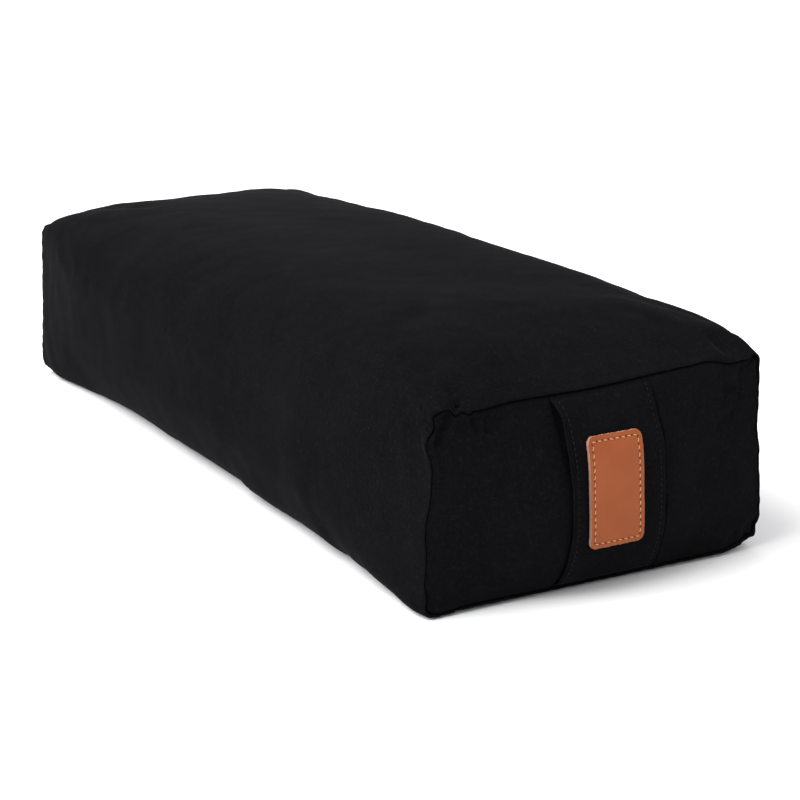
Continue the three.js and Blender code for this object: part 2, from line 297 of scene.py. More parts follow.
@dataclass(frozen=True)
class CoverForm:
    """The cover's cut sizes and how its filling swells it.

    A section across the bolster has the outline |y|^power + |z|^power = 1, nearly square at an end seam and
    well rounded at mid length. A point (a, b) of a square from -1 to 1 names a place on it.
    """

    length: float = 0.625
    width: float = 0.238
    height: float = 0.122
    # How high the top swells between the seams
    crown: float = 0.0295
    crown_reach: float = 0.280
    crown_power: float = 6
    # How the section loses its corners
    relax_reach: float = 0.150
    relax_power: float = 1.6
    square_power: float = 30
    round_power: float = 3.4
    # How the sides stand out, at which share of the height, and how the weight spreads the foot
    bulge: float = 0.009
    waist: float = 0.56
    settle: float = 0.016
    weight_spread: float = 0.0024
    # How far the end seams are lifted off the floor
    seam_lift: float = 0.0018
    lift_reach: float = 0.024
    lift_power: float = 2
    # How far the end panels stand out
    end_crown: float = 0.013
    end_power: float = 2.4
    # How far a panel's rim is turned back: further at its foot, and not at all along its sides
    rim_turn: float = 0.0013
    rim_reach: float = 0.0016
    rim_at_foot: float = 1.4
    rim_foot_range: Pair = (0.5, 1)
    rim_on_sides: float = 1.25
    rim_side_range: Pair = (0.006, 0.022)

    @property
    def half(self) -> float:
        """Half the length between the end seams."""
        return self.length / 2

    @property
    def panel_middle(self) -> float:
        """The height of an end panel's middle."""
        return (self.height + self.seam_lift) / 2

    @property
    def perimeter(self) -> float:
        """The length of an end seam."""
        return 2 * (self.width + self.height)

    def around(self, a: Array, b: Array) -> Array:
        """The place along an end seam, from the middle of its foot towards +Y, of a square's point.

        Args:
            a: The place across the square, from -1 to 1.
            b: The place up the square, from -1 to 1.

        Returns:
            The distance along the seam, worked out for the side of the square that the point is nearest.
        """
        across, up = self.width / 2, self.height / 2
        foot = np.where(a >= 0, across * a, self.perimeter + across * a)
        right = across + up * (b + 1)
        head = across + 2 * up + across * (1 - a)
        left = 3 * across + 2 * up + up * (1 - b)
        size = np.maximum(np.abs(a), np.abs(b)) - TINY
        return np.select([b <= -size, a >= size, b >= size], [foot, right, head], left)

    def closed_around(self, a: Array, b: Array) -> Array:
        """The places along an end seam of a closed ring, whose last point ends the seam."""
        return np.append(self.around(a[:-1], b[:-1]), self.perimeter)

    def section(self, distance: Array, a: Array, b: Array, inset: Array | float) -> tuple[Array, Array]:
        """Y and Z of a section's outline at a distance in from the nearer end seam.

        Args:
            distance: The distance in from the seam.
            a: The place across the square, from -1 to 1.
            b: The place up the square, from -1 to 1.
            inset: How far inside the skin the point lies.

        Returns:
            Y and Z of each point.
        """
        relaxed = rise(distance, self.relax_reach, self.relax_power)
        power = 1 / blend(1 / self.square_power, 1 / self.round_power, relaxed)
        top = self.height + self.crown * rise(distance, self.crown_reach, self.crown_power)
        foot = self.seam_lift * (1 - rise(distance, self.lift_reach, self.lift_power))
        waist = blend(self.panel_middle, self.waist * top, relaxed)
        pull = (np.abs(a) ** power + np.abs(b) ** power) ** (-1 / power)
        reach_up = np.where(b > 0, top - waist, waist - foot + self.settle * relaxed)
        z = np.maximum(waist + (reach_up - inset) * b * pull, 0)
        spread_out = self.weight_spread * (1 - z / self.panel_middle) * (1 - relaxed)
        side = self.width / 2 + self.bulge * relaxed + spread_out
        return (side - inset) * a * pull, z

    def panel(self, a: Array, b: Array, inset: Array | float) -> tuple[Array, Array]:
        """Y and Z of an end panel's point: the section at the seam, shrunk to a share of its size.

        Args:
            a: The place across the panel, from -1 to 1.
            b: The place up the panel, from -1 to 1.
            inset: How far inside the seam the panel's edge lies.

        Returns:
            Y and Z of each point.
        """
        share = np.maximum(np.maximum(np.abs(a), np.abs(b)), TINY)
        y, z = self.section(np.zeros_like(share), a / share, b / share, inset)
        return y * share, self.panel_middle + (z - self.panel_middle) * share

    def panel_bulge(self, a: Array, b: Array) -> Array:
        """How far an end panel stands out at (a, b), without its rim: (1 - |a|^power)(1 - |b|^power)."""
        a, b = np.minimum(np.abs(a), 1), np.minimum(np.abs(b), 1)
        return self.end_crown * (1 - a**self.end_power) * (1 - b**self.end_power)

    def rim(self, a: Array, b: Array) -> Array:
        """How far an end panel's rim is turned back into the seam: (1 - distance / reach)^2 of the turn.

        Args:
            a: The place across the panel, from -1 to 1.
            b: The place up the panel, from -1 to 1.

        Returns:
            The distance. Along the sides it is a little below zero, so the rim stands out there.
        """
        from_side, from_head = (1 - np.abs(a)) * self.width / 2, (1 - np.abs(b)) * self.height / 2
        tight = np.clip(1 - np.minimum(from_side, from_head) / self.rim_reach, 0, 1) ** 2
        foot = 1 + self.rim_at_foot * smooth_rise(-b, *self.rim_foot_range)
        sides = 1 - self.rim_on_sides * smooth_rise(from_head, *self.rim_side_range)
        return self.rim_turn * tight * foot * sides

    def push(self, skin: Array) -> Array:
        """How far all the folds together push the cloth at each point of the skin."""
        return sum(fold.at(skin, self.half) for fold in FOLDS)


@dataclass(frozen=True)
class SeamPuckers:
    """Short valleys that the sewing thread draws into the cloth, square to an end seam.

    The ranges are shares of the pitch, depth, width and reach that a single valley is drawn from. Valleys
    are the deeper along the sides and beside the corners.
    """

    seed: int
    pitch: float = 0.0085
    depth: float = 0.0007
    width: float = 0.0022
    reach: float = 0.017
    place_range: Pair = (-0.35, 0.35)
    depth_range: Pair = (0.25, 1.3)
    width_range: Pair = (0.7, 1.4)
    reach_range: Pair = (0.45, 1.7)
    everywhere: float = 0.35
    on_sides: float = 0.5
    at_corners: float = 0.8
    corner_reach: float = 0.022
    fade_power: float = 1.5

    def at(self, form: CoverForm, around: Array, inward: Array) -> Array:
        """The height at each point, a sum of bell-shaped valleys that fade and widen away from the seam.

        Args:
            form: The cover.
            around: The place along the seam.
            inward: The distance from the seam.

        Returns:
            The height, below zero in a valley.
        """
        draw = np.random.default_rng(self.seed)
        count = round(form.perimeter / self.pitch)
        places = (np.arange(count) + draw.uniform(*self.place_range, count)) * form.perimeter / count
        foot_right, head_right = form.width / 2, form.width / 2 + form.height
        corners = np.array([foot_right, head_right, form.perimeter - foot_right, form.perimeter - head_right])
        near_corner = bell(np.abs(places[:, None] - corners).min(axis=1), self.corner_reach)
        halfway = np.minimum(places, form.perimeter - places)
        on_side = (halfway > foot_right) & (halfway < head_right)
        share = self.everywhere + self.on_sides * on_side + self.at_corners * near_corner
        depths = self.depth * draw.uniform(*self.depth_range, count) * share
        widths = self.width * draw.uniform(*self.width_range, count)
        reaches = self.reach * draw.uniform(*self.reach_range, count)
        height = np.zeros(np.broadcast(around, inward).shape)
        for place, depth, width, reach in zip(places, depths, widths, reaches):
            aside = (around - place + form.perimeter / 2) % form.perimeter - form.perimeter / 2
            fade = np.clip(1 - inward / reach, 0, 1) ** self.fade_power
            height -= depth * fade * bell(aside, width * (1 + inward / reach))
        return height


# A seam's thread draws the cover and the end panel into the same puckers
PUCKERS = {End.BAND: SeamPuckers(seed=11), End.PLAIN: SeamPuckers(seed=23)}


@dataclass(frozen=True)
class Surface:
    """A closed surface: its points, its faces as runs of corners, and a cloth place for each corner."""

    points: Array
    corners: Indices
    places: Array
    sizes: Indices
    values: dict[str, Array] = field(default_factory=dict)


def grid_cells(index: Indices, flip: bool = False) -> Indices:
    """The four corners of each cell of a grid of numbers, in turn, or in turn the other way."""
    cells = np.stack([index[:-1, :-1], index[:-1, 1:], index[1:, 1:], index[1:, :-1]], axis=-1)
    return cells.reshape(-1, 4)[:, ::-1] if flip else cells.reshape(-1, 4)


def tube_surface(points: Array, places: Array, values: dict[str, Array] | None = None) -> Surface:
    """A tube of rings, closed at each end by a fan about the middle of its last ring.

    Args:
        points: Rings by points by 3. A ring turns to the right, seen along the tube.
        places: Rings by points + 1 by 2, the cloth places; the last column closes the ring.
        values: Numbers to keep with the points, rings by points, by name.

    Returns:
        The closed surface.
    """
    rings, count = points.shape[:2]
    index = np.arange(rings * count).reshape(rings, count)
    index = np.hstack([index, index[:, :1]])
    place_index = np.arange(rings * (count + 1)).reshape(rings, count + 1)
    flat = points.reshape(-1, 3)
    flat_places = places.reshape(-1, 2)
    low, high = len(flat), len(flat) + 1
    place_low, place_high = len(flat_places), len(flat_places) + 1
    fans = []
    for grid, start, stop in ((index, low, high), (place_index, place_low, place_high)):
        first, last = grid[0], grid[-1]
        lower = np.stack([np.full(count, start), first[1:], first[:-1]], axis=-1)
        upper = np.stack([np.full(count, stop), last[:-1], last[1:]], axis=-1)
        fans.append(np.concatenate([lower, upper]))
    poles = np.stack([points[0].mean(axis=0), points[-1].mean(axis=0)])
    pole_places = np.stack([places[0].mean(axis=0), places[-1].mean(axis=0)])
    quads, place_quads = grid_cells(index), grid_cells(place_index)
    kept = {
        name: np.append(value.ravel(), [value[0].mean(), value[-1].mean()])
        for name, value in (values or {}).items()
    }
    return Surface(
        points=np.vstack([flat, poles]),
        corners=np.concatenate([quads.ravel(), fans[0].ravel()]),
        places=np.vstack([flat_places, pole_places])[np.concatenate([place_quads.ravel(), fans[1].ravel()])],
        sizes=np.repeat([4, 3], [len(quads), len(fans[0])]),
        values=kept,
    )


def sheet_surface(outer: Array, inner: Array, places: Array, flip: bool) -> Surface:
    """A sheet of two grids of points and the narrow wall between their rims.

    Args:
        outer: Rows by columns by 3, the face that shows.
        inner: The same for the face behind it.
        places: Rows by columns by 2, the cloth places.
        flip: Whether the outer face looks along its row direction crossed with its column direction.

    Returns:
        The closed surface.
    """
    rows, columns = outer.shape[:2]
    index = np.arange(rows * columns).reshape(rows, columns)
    loop = np.concatenate([index[0, :-1], index[:-1, -1], index[-1, :0:-1], index[:0:-1, 0]])
    following = np.roll(loop, -1)
    behind = index.size
    wall = np.stack([loop, loop + behind, following + behind, following], axis=-1)
    wall = wall[:, ::-1] if flip else wall
    quads = np.concatenate([grid_cells(index, flip), grid_cells(index + behind, not flip), wall])
    corners = quads.ravel()
    return Surface(
        points=np.vstack([outer.reshape(-1, 3), inner.reshape(-1, 3)]),
        corners=corners,
        places=places.reshape(-1, 2)[corners % behind],
        sizes=np.full(len(quads), 4),
    )


def make_object(name: str, surfaces: list[Surface], material: bpy.types.Material) -> bpy.types.Object:
    """Joins surfaces into one smooth mesh object at the origin.

    Args:
        name: The object's name.
        surfaces: What it is made of.
        material: Its finish.

    Returns:
        The new object, linked to the scene.
    """
    starts = np.cumsum([0] + [len(surface.points) for surface in surfaces[:-1]])
    corners = np.concatenate([surface.corners + start for surface, start in zip(surfaces, starts)])
    sizes = np.concatenate([surface.sizes for surface in surfaces])
    points = np.concatenate([surface.points for surface in surfaces])
    mesh = bpy.data.meshes.new(name)
    mesh.vertices.add(len(points))
    mesh.vertices.foreach_set("co", points.astype(np.float32).ravel())
    mesh.loops.add(len(corners))
    mesh.loops.foreach_set("vertex_index", corners.astype(np.int32))
    mesh.polygons.add(len(sizes))
    mesh.polygons.foreach_set("loop_start", np.concatenate([[0], np.cumsum(sizes)[:-1]]).astype(np.int32))
    mesh.polygons.foreach_set("use_smooth", np.ones(len(sizes), bool))
    layer = mesh.uv_layers.new(name=CLOTH_UV)
    places = np.concatenate([surface.places for surface in surfaces])
    layer.data.foreach_set("uv", places.astype(np.float32).ravel())
    for key in surfaces[0].values:
        attribute = mesh.attributes.new(key, "FLOAT", "POINT")
        kept = np.concatenate([surface.values[key] for surface in surfaces])
        attribute.data.foreach_set("value", kept.astype(np.float32))
    mesh.update(calc_edges=True)
    mesh.validate()
    mesh.materials.append(material)
    made = bpy.data.objects.new(name, mesh)
    bpy.context.scene.collection.objects.link(made)
    return made


def square_ring(across: int, up: int, crowding: float) -> tuple[Array, Array]:
    """The outline of a square, from the middle of its foot round to there again.

    Args:
        across: Cells along its foot and along its head.
        up: Cells along each side.
        crowding: How much the points crowd towards the corners.

    Returns:
        The places across and up, each from -1 to 1, with the first point repeated at the end.
    """
    wide, tall = spread(across, crowding), spread(up, crowding)
    middle = across // 2
    a = np.concatenate([wide[middle:-1], np.ones(up), wide[:0:-1], -np.ones(up), wide[: middle + 1]])
    foot, head = -np.ones(middle + 1), np.ones(across)
    b = np.concatenate([-np.ones(across - middle), tall[:-1], head, tall[:0:-1], foot])
    return a, b


@dataclass(frozen=True)
class Settled:
    """How far the cloth moved as it settled, on the coarse grids of the simulation."""

    wrap_x: Array
    wrap_around: Array
    wrap: Array
    panel_a: Array
    panel_b: Array
    panels: dict[End, Array]
    hold: float = 0.004

    def on_wrap(self, x: Array, around: Array) -> Array:
        """The move at a finer grid of the wrap panel, read as a smooth curve both ways.

        Args:
            x: The place along the bolster of each row.
            around: The place along an end seam of each column.

        Returns:
            The move, rows by columns by 3.
        """
        rows, columns = self.wrap.shape[:2]
        down = cubic_weights(np.interp(x, self.wrap_x, np.arange(rows)), rows, False)
        over = cubic_weights(np.interp(around, self.wrap_around, np.arange(columns + 1)), columns, True)
        return np.einsum("ri,ijk,cj->rck", down, self.wrap, over, optimize=True)

    def on_panel(self, end: End, a: Array, b: Array) -> Array:
        """The move at a finer grid of an end panel, read as a smooth curve both ways.

        Args:
            end: Which panel.
            a: The place across the panel of each column, from -1 to 1.
            b: The place up the panel of each row, from -1 to 1.

        Returns:
            The move, rows by columns by 3.
        """
        move = self.panels[end]
        rows, columns = move.shape[:2]
        down = cubic_weights(np.interp(b, self.panel_b, np.arange(rows)), rows, False)
        over = cubic_weights(np.interp(a, self.panel_a, np.arange(columns)), columns, False)
        return np.einsum("ri,ijk,cj->rck", down, move, over, optimize=True)

    def loose(self, inward: Array) -> Array:
        """How free the cloth is at a distance from a seam, 0 at the seam and 1 past the hold."""
        return smooth_rise(inward, 0, self.hold)[..., None]


# A washed canvas as the simulation sees it, in its own units, in air that slows it down
CANVAS_AS_CLOTH = {
    "quality": 5,
    "mass": 0.3,
    "tension_stiffness": 25,
    "compression_stiffness": 25,
    "shear_stiffness": 10,
    "bending_stiffness": 0.4,
    "air_damping": 3,
    "pin_stiffness": 1,
    "use_pressure": True,
}


@dataclass(frozen=True)
class Settling:
    """The empty cover as cloth, a little fuller beside its seams than along them, filled under pressure.

    Blender's cloth simulation finds the drags and soft buckles that such cloth takes. The seams are held.
    """

    form: CoverForm
    # The coarse grids
    across: int = 64
    up: int = 32
    along: int = 92
    crowding: float = 0.55
    seam_edge: float = 0.1 * MM
    # The pressure of the filling, and how much fuller the cloth is cut beside a seam
    pressure: float = 4.0
    slack: float = 0.011
    slack_reach: float = 0.028
    frames: int = 20
    # What is kept of the moves: up to a cap, averaged finely, less their broad average, which fades at a seam
    cap: float = 2.0 * MM
    fine: float = 3.5 * MM
    broad: float = 16 * MM
    fade: float = 30 * MM
    uneven: Unevenness = Unevenness(seed=5, shortest=0.012, longest=0.05, height=0.00035)

    def start_grids(self) -> tuple[list[Array], list[Array], list[Array]]:
        """The cloth where it starts, as it is cut, and which of its points are held.

        Returns:
            Three lists with a grid each for the wrap panel and the two end panels. The cut grids are fuller
            than the start by the slack, less and less up to its reach from a seam.
        """
        form = self.form
        ring_a, ring_b = square_ring(self.across, self.up, 0)
        x = form.half * spread(self.along, self.crowding)[:, None]
        distance = form.half - np.abs(x)
        y, z = form.section(distance, ring_a[None, :-1], ring_b[None, :-1], 0)
        starts = [np.stack(np.broadcast_arrays(x, y, z), axis=-1)]
        inward = [np.broadcast_to(distance, y.shape)]
        wide, tall = np.meshgrid(spread(self.across, 0) + TINY, spread(self.up, 0) + TINY)
        rim = np.minimum((1 - np.abs(wide)) * form.width, (1 - np.abs(tall)) * form.height) / 2
        y, z = form.panel(wide, tall, 0)
        for end in End:
            out = end.value * (form.half + form.panel_bulge(wide, tall))
            starts.append(np.stack([out, y, z], axis=-1))
            inward.append(rim)
        starts = [grid + form.push(grid) for grid in starts]
        middle = np.array([0, 0, form.panel_middle])
        cuts = []
        for grid, depth in zip(starts, inward):
            near = np.clip(1 - depth / self.slack_reach, 0, 1) ** 2 * (depth > self.seam_edge)
            fuller = 1 + self.slack * near
            cuts.append(middle + (grid - middle) * np.stack([np.ones_like(fuller), fuller, fuller], axis=-1))
        starts = [grid + grid_normals(grid, False) * self.uneven.at(grid)[..., None] for grid in starts]
        return starts, cuts, [depth < self.seam_edge for depth in inward]

    def cloth_object(self, starts: list[Array], cuts: list[Array], held: list[Array]) -> bpy.types.Object:
        """The three grids as one mesh with its cut shape, its held points and a Cloth modifier.

        Args:
            starts: The wrap panel and the two end panels where they start.
            cuts: The same as they are cut.
            held: Which points of each are held.

        Returns:
            The cloth, linked to the scene.
        """
        cells, first = [], 0
        for number, grid in enumerate(starts):
            index = np.arange(first, first + grid.shape[0] * grid.shape[1]).reshape(grid.shape[:2])
            first += index.size
            closed = np.hstack([index, index[:, :1]]) if number == 0 else index
            cells.append(grid_cells(closed, flip=number == 2))
        mesh = bpy.data.meshes.new("settling_cloth")
        mesh.from_pydata(listed(starts).tolist(), [], np.concatenate(cells).tolist())
        cloth = bpy.data.objects.new("settling_cloth", mesh)
        bpy.context.scene.collection.objects.link(cloth)
        cloth.shape_key_add(name="filled")
        cut = cloth.shape_key_add(name="cut")
        cut.data.foreach_set("co", listed(cuts).astype(np.float32).ravel())
        seams = cloth.vertex_groups.new(name="seams")
        mask = np.concatenate([grid.ravel() for grid in held])
        seams.add(np.flatnonzero(mask).tolist(), 1.0, "ADD")
        settings = cloth.modifiers.new("settle", "CLOTH").settings
        for name, value in CANVAS_AS_CLOTH.items():
            setattr(settings, name, value)
        settings.uniform_pressure_force = self.pressure
        settings.effector_weights.gravity = 0
        settings.vertex_group_mass = seams.name
        settings.rest_shape_key = cut
        return cloth

    def simulate(self, cloth: bpy.types.Object) -> Array:
        """Lets the cloth settle for all its frames, reads its points and removes it.

        Args:
            cloth: The cloth.

        Returns:
            The settled points, one row each.
        """
        scene = bpy.context.scene
        for number in range(1, self.frames + 1):
            scene.frame_set(number)
        shown = cloth.evaluated_get(bpy.context.evaluated_depsgraph_get())
        points = np.zeros(len(shown.data.vertices) * 3, np.float32)
        shown.data.vertices.foreach_get("co", points)
        bpy.data.objects.remove(cloth)
        scene.frame_set(1)
        return points.reshape(-1, 3).astype(float)

    def run(self) -> Settled:
        """Runs the simulation, caps how far each point moved, and keeps the fine part of it.

        Returns:
            The moves of the wrap panel and of the end panels.
        """
        starts, cuts, held = self.start_grids()
        move = self.simulate(self.cloth_object(starts, cuts, held)) - listed(starts)
        size = np.linalg.norm(move, axis=1, keepdims=True)
        log.info("settled: mean move %.2f mm, most %.2f mm", size.mean() / MM, size.max() / MM)
        move *= np.minimum(1, self.cap / np.maximum(size, TINY))
        parts = np.split(move, np.cumsum([grid.shape[0] * grid.shape[1] for grid in starts])[:-1])
        wrap, *panels = (part.reshape(grid.shape) for part, grid in zip(parts, starts))
        form = self.form
        around = form.closed_around(*square_ring(self.across, self.up, 0))
        x = starts[0][:, 0, 0]
        wide, tall = spread(self.across, 0), spread(self.up, 0)
        down, over = tall * form.height / 2, wide * form.width / 2
        return Settled(
            wrap_x=x,
            wrap_around=around,
            wrap=self.detail(wrap, x, around[:-1], form.perimeter),
            panel_a=wide,
            panel_b=tall,
            panels={end: self.detail(panel, down, over) for end, panel in zip(End, panels)},
        )

    def detail(self, move: Array, down: Array, over: Array, period: float = math.inf) -> Array:
        """The fine part of a grid's move: its narrow average less its broad one, which fades at the seams.

        Args:
            move: The move, one row for each place down the grid and one column for each place over it.
            down: The places down the grid. Its first and last rows are seams.
            over: The places over the grid. Its first and last columns are seams if it doesn't close.
            period: The length round the grid if it closes.

        Returns:
            The fine part, on the same grid.
        """
        kept = smooth_rise(down[-1] - np.abs(down), 0, self.fade)
        closed = period < math.inf
        within = np.ones(len(over)) if closed else smooth_rise(over[-1] - np.abs(over), 0, self.fade)
        weigh = "rs,sck,dc->rdk"
        narrow = np.einsum(weigh, averaging(down, self.fine), move, averaging(over, self.fine, period))
        wide_down = averaging(down, self.broad) * kept[:, None]
        wide_over = averaging(over, self.broad, period) * within[:, None]
        return narrow - np.einsum(weigh, wide_down, move, wide_over)


def linear(colour: str) -> tuple[float, float, float, float]:
    """An sRGB colour turned linear by the standard curve, with full opacity.

    Args:
        colour: The colour as written, such as #A55B3D.

    Returns:
        Red, green, blue and opacity.
    """
    values = [int(colour[i : i + 2], 16) / 255 for i in (1, 3, 5)]
    red, green, blue = (v / 12.92 if v <= 0.04045 else ((v + 0.055) / 1.055) ** 2.4 for v in values)
    return red, green, blue, 1.0


def add_node(
    tree: bpy.types.NodeTree, kind: str, settings: dict[str, object] | None = None, **inputs: object
) -> bpy.types.Node:
    """Adds a node, sets it up and links what feeds it.

    Args:
        tree: The node tree.
        kind: The node's type, without its ShaderNode prefix.
        settings: Its own properties, by name.
        inputs: Its sockets, by identifier, each a value, an output socket, or a node, whose first output
            that is in use then feeds it.

    Returns:
        The new node.
    """
    node = tree.nodes.new("ShaderNode" + kind)
    for name, value in (settings or {}).items():
        setattr(node, name, value)
    sockets = {socket.identifier.replace(" ", "_"): socket for socket in node.inputs}
    for name, value in inputs.items():
        if isinstance(value, bpy.types.Node):
            value = next(socket for socket in value.outputs if socket.enabled)
        if isinstance(value, bpy.types.NodeSocket):
            tree.links.new(value, sockets[name])
        else:
            sockets[name].default_value = value
    return node


def new_material(name: str) -> tuple[bpy.types.Material, bpy.types.NodeTree]:
    """A new material with an empty node tree.

    Args:
        name: The material's name.

    Returns:
        The material and its tree.
    """
    material = bpy.data.materials.new(name)
    material.use_nodes = True
    material.node_tree.nodes.clear()
    return material, material.node_tree


# Settings that several nodes share
COLOURS = {"data_type": "RGBA"}
TIMES, PLUS = {"operation": "MULTIPLY"}, {"operation": "ADD"}
TIMES_PLUS = {"operation": "MULTIPLY_ADD"}
SOFT = {"Detail": 2.0, "Roughness": 0.6}


@dataclass(frozen=True)
class Mottling:
    """Greyer places in a dye: noise of a size, from low to high, that adds a share of the faded colour."""

    size: float
    low: float
    high: float
    share: float


@dataclass(frozen=True)
class BlackCotton:
    """Plain-weave cotton canvas, dyed black and washed.

    It is matt, and its fibre ends catch light at a grazing angle. Its threads are uneven, with thicker slubs
    both ways, the dye is cloudy, and specks and lint show greyer. The weave is too fine to show, so it is
    drawn twice as coarse.
    """

    name: str
    deep: str = "#0A0A0B"
    faded: str = "#121214"
    fibre_ends: str = "#A9ABB8"
    pitch: float = 1.1 * MM
    slub_thick: float = 1.0 * MM
    slub_long: float = 9 * MM
    slub_low: float = 0.62
    slub_high: float = 0.76
    slub_share: float = 0.9
    # Clouds of dye, mottling, specks and lint
    mottlings: tuple[Mottling, ...] = (
        Mottling(size=45 * MM, low=0.36, high=0.64, share=0.24),
        Mottling(size=9 * MM, low=0.36, high=0.64, share=0.14),
        Mottling(size=2.0 * MM, low=0.36, high=0.64, share=0.3),
        Mottling(size=2.6 * MM, low=0.60, high=0.72, share=0.9),
    )
    # The relief of the fuzz, with the slubs and the weave in shares of it
    fuzz: float = 1.6 * MM
    slub_relief: float = 1.6
    weave_relief: float = 0.35
    relief: float = 0.12 * MM
    relief_strength: float = 0.6
    roughness: float = 0.92
    specular: float = 0.01
    sheen: float = 0.035
    sheen_roughness: float = 0.3

    def build(self) -> bpy.types.Material:
        """Builds the material. Weave and slubs follow the cloth places in metres, the rest the object.

        The weave's height is the cosine across it times the cosine along it.

        Returns:
            The material.
        """
        material, tree = new_material(self.name)
        place = add_node(tree, "UVMap", {"uv_map": CLOTH_UV})
        turn = 2 * math.pi / self.pitch
        phase = add_node(tree, "Mapping", Vector=place, Scale=(turn, turn, 1))
        threads = add_node(tree, "SeparateXYZ", Vector=phase).outputs
        warp, weft = (add_node(tree, "Math", {"operation": "COSINE"}, Value=threads[way]) for way in (0, 1))
        weave = add_node(tree, "Math", TIMES, Value=warp, Value_001=weft)
        slubs = []
        for thick, long in ((self.slub_thick, self.slub_long), (self.slub_long, self.slub_thick)):
            along = add_node(tree, "Mapping", Vector=place, Scale=(1 / thick, 1 / long, 1))
            slubs.append(add_node(tree, "TexNoise", Vector=along, Scale=1.0, **SOFT))
        slub = add_node(tree, "Math", {"operation": "MAXIMUM"}, Value=slubs[0], Value_001=slubs[1])
        streak = add_node(tree, "MapRange", Value=slub, From_Min=self.slub_low, From_Max=self.slub_high)
        body = add_node(tree, "TexCoord").outputs["Object"]
        grey = add_node(tree, "Math", TIMES, Value=streak, Value_001=self.slub_share)
        for mottling in self.mottlings:
            noise = add_node(tree, "TexNoise", Vector=body, Scale=1 / mottling.size, **SOFT)
            limits = {"From_Min": mottling.low, "From_Max": mottling.high, "To_Max": mottling.share}
            even = add_node(tree, "MapRange", Value=noise, **limits)
            grey = add_node(tree, "Math", PLUS, Value=grey, Value_001=even)
        deep, faded = linear(self.deep), linear(self.faded)
        colour = add_node(tree, "Mix", COLOURS, Factor_Float=grey, A_Color=deep, B_Color=faded)
        fuzz = add_node(tree, "TexNoise", Vector=body, Scale=1 / self.fuzz, Detail=3.0)
        rough = add_node(tree, "Math", TIMES_PLUS, Value=slub, Value_001=self.slub_relief, Value_002=fuzz)
        height = add_node(tree, "Math", TIMES_PLUS, Value=weave, Value_001=self.weave_relief, Value_002=rough)
        bump = add_node(tree, "Bump", Strength=self.relief_strength, Distance=self.relief, Height=height)
        shader = add_node(
            tree,
            "BsdfPrincipled",
            Base_Color=colour,
            Roughness=self.roughness,
            Specular_IOR_Level=self.specular,
            Sheen_Weight=self.sheen,
            Sheen_Roughness=self.sheen_roughness,
            Sheen_Tint=linear(self.fibre_ends),
            Normal=bump,
        )
        add_node(tree, "OutputMaterial", Surface=shader)
        return material


@dataclass(frozen=True)
class TanLeather:
    """Vegetable-tanned cowhide, smooth side out, die-cut: a pore grain, a satin finish and pale raw edges.

    The pores are drawn about three times as coarse as they are, so that they show.
    """

    name: str = "tan_leather"
    face: str = "#86431F"
    light: str = "#8E4823"
    # Painted shade: the colour that darkens the leather in the needle holes
    raw: str = "#9E7A6A"
    hole: str = "#4A2110"
    cloud: float = 25 * MM
    cloud_low: float = 0.35
    cloud_high: float = 0.7
    pore: float = 0.55 * MM
    crease: float = 2.4 * MM
    relief: float = 0.06 * MM
    relief_strength: float = 0.35
    face_roughness: float = 0.5
    edge_roughness: float = 0.9
    specular: float = 0.18

    def build(self) -> bpy.types.Material:
        """Builds the material, with the raw edge and the painted shade of the needle holes from the piece's
        own attributes.

        Returns:
            The material.
        """
        material, tree = new_material(self.name)
        body = add_node(tree, "TexCoord").outputs["Object"]
        cloud = add_node(tree, "TexNoise", Vector=body, Scale=1 / self.cloud, Detail=4.0, Roughness=0.6)
        share = add_node(tree, "MapRange", Value=cloud, From_Min=self.cloud_low, From_Max=self.cloud_high)
        face, light = linear(self.face), linear(self.light)
        colour = add_node(tree, "Mix", COLOURS, Factor_Float=share, A_Color=face, B_Color=light)
        edge = add_node(tree, "Attribute", {"attribute_name": "raw_edge"}).outputs["Fac"]
        colour = add_node(tree, "Mix", COLOURS, Factor_Float=edge, A_Color=colour, B_Color=linear(self.raw))
        # Painted shade: the leather turns to the hole colour over the needle holes' mask
        hole = add_node(tree, "Attribute", {"attribute_name": "needle_hole"}).outputs["Fac"]
        colour = add_node(tree, "Mix", COLOURS, Factor_Float=hole, A_Color=colour, B_Color=linear(self.hole))
        pores = add_node(tree, "TexVoronoi", {"feature": "SMOOTH_F1"}, Vector=body, Scale=1 / self.pore)
        creases = add_node(tree, "TexNoise", Vector=body, Scale=1 / self.crease, Detail=4.0)
        height = add_node(tree, "Math", PLUS, Value=pores, Value_001=creases)
        bump = add_node(tree, "Bump", Strength=self.relief_strength, Distance=self.relief, Height=height)
        rough = add_node(tree, "MapRange", Value=edge, To_Min=self.face_roughness, To_Max=self.edge_roughness)
        sockets = {"Roughness": rough, "Specular_IOR_Level": self.specular, "Normal": bump}
        shader = add_node(tree, "BsdfPrincipled", Base_Color=colour, **sockets)
        add_node(tree, "OutputMaterial", Surface=shader)
        return material


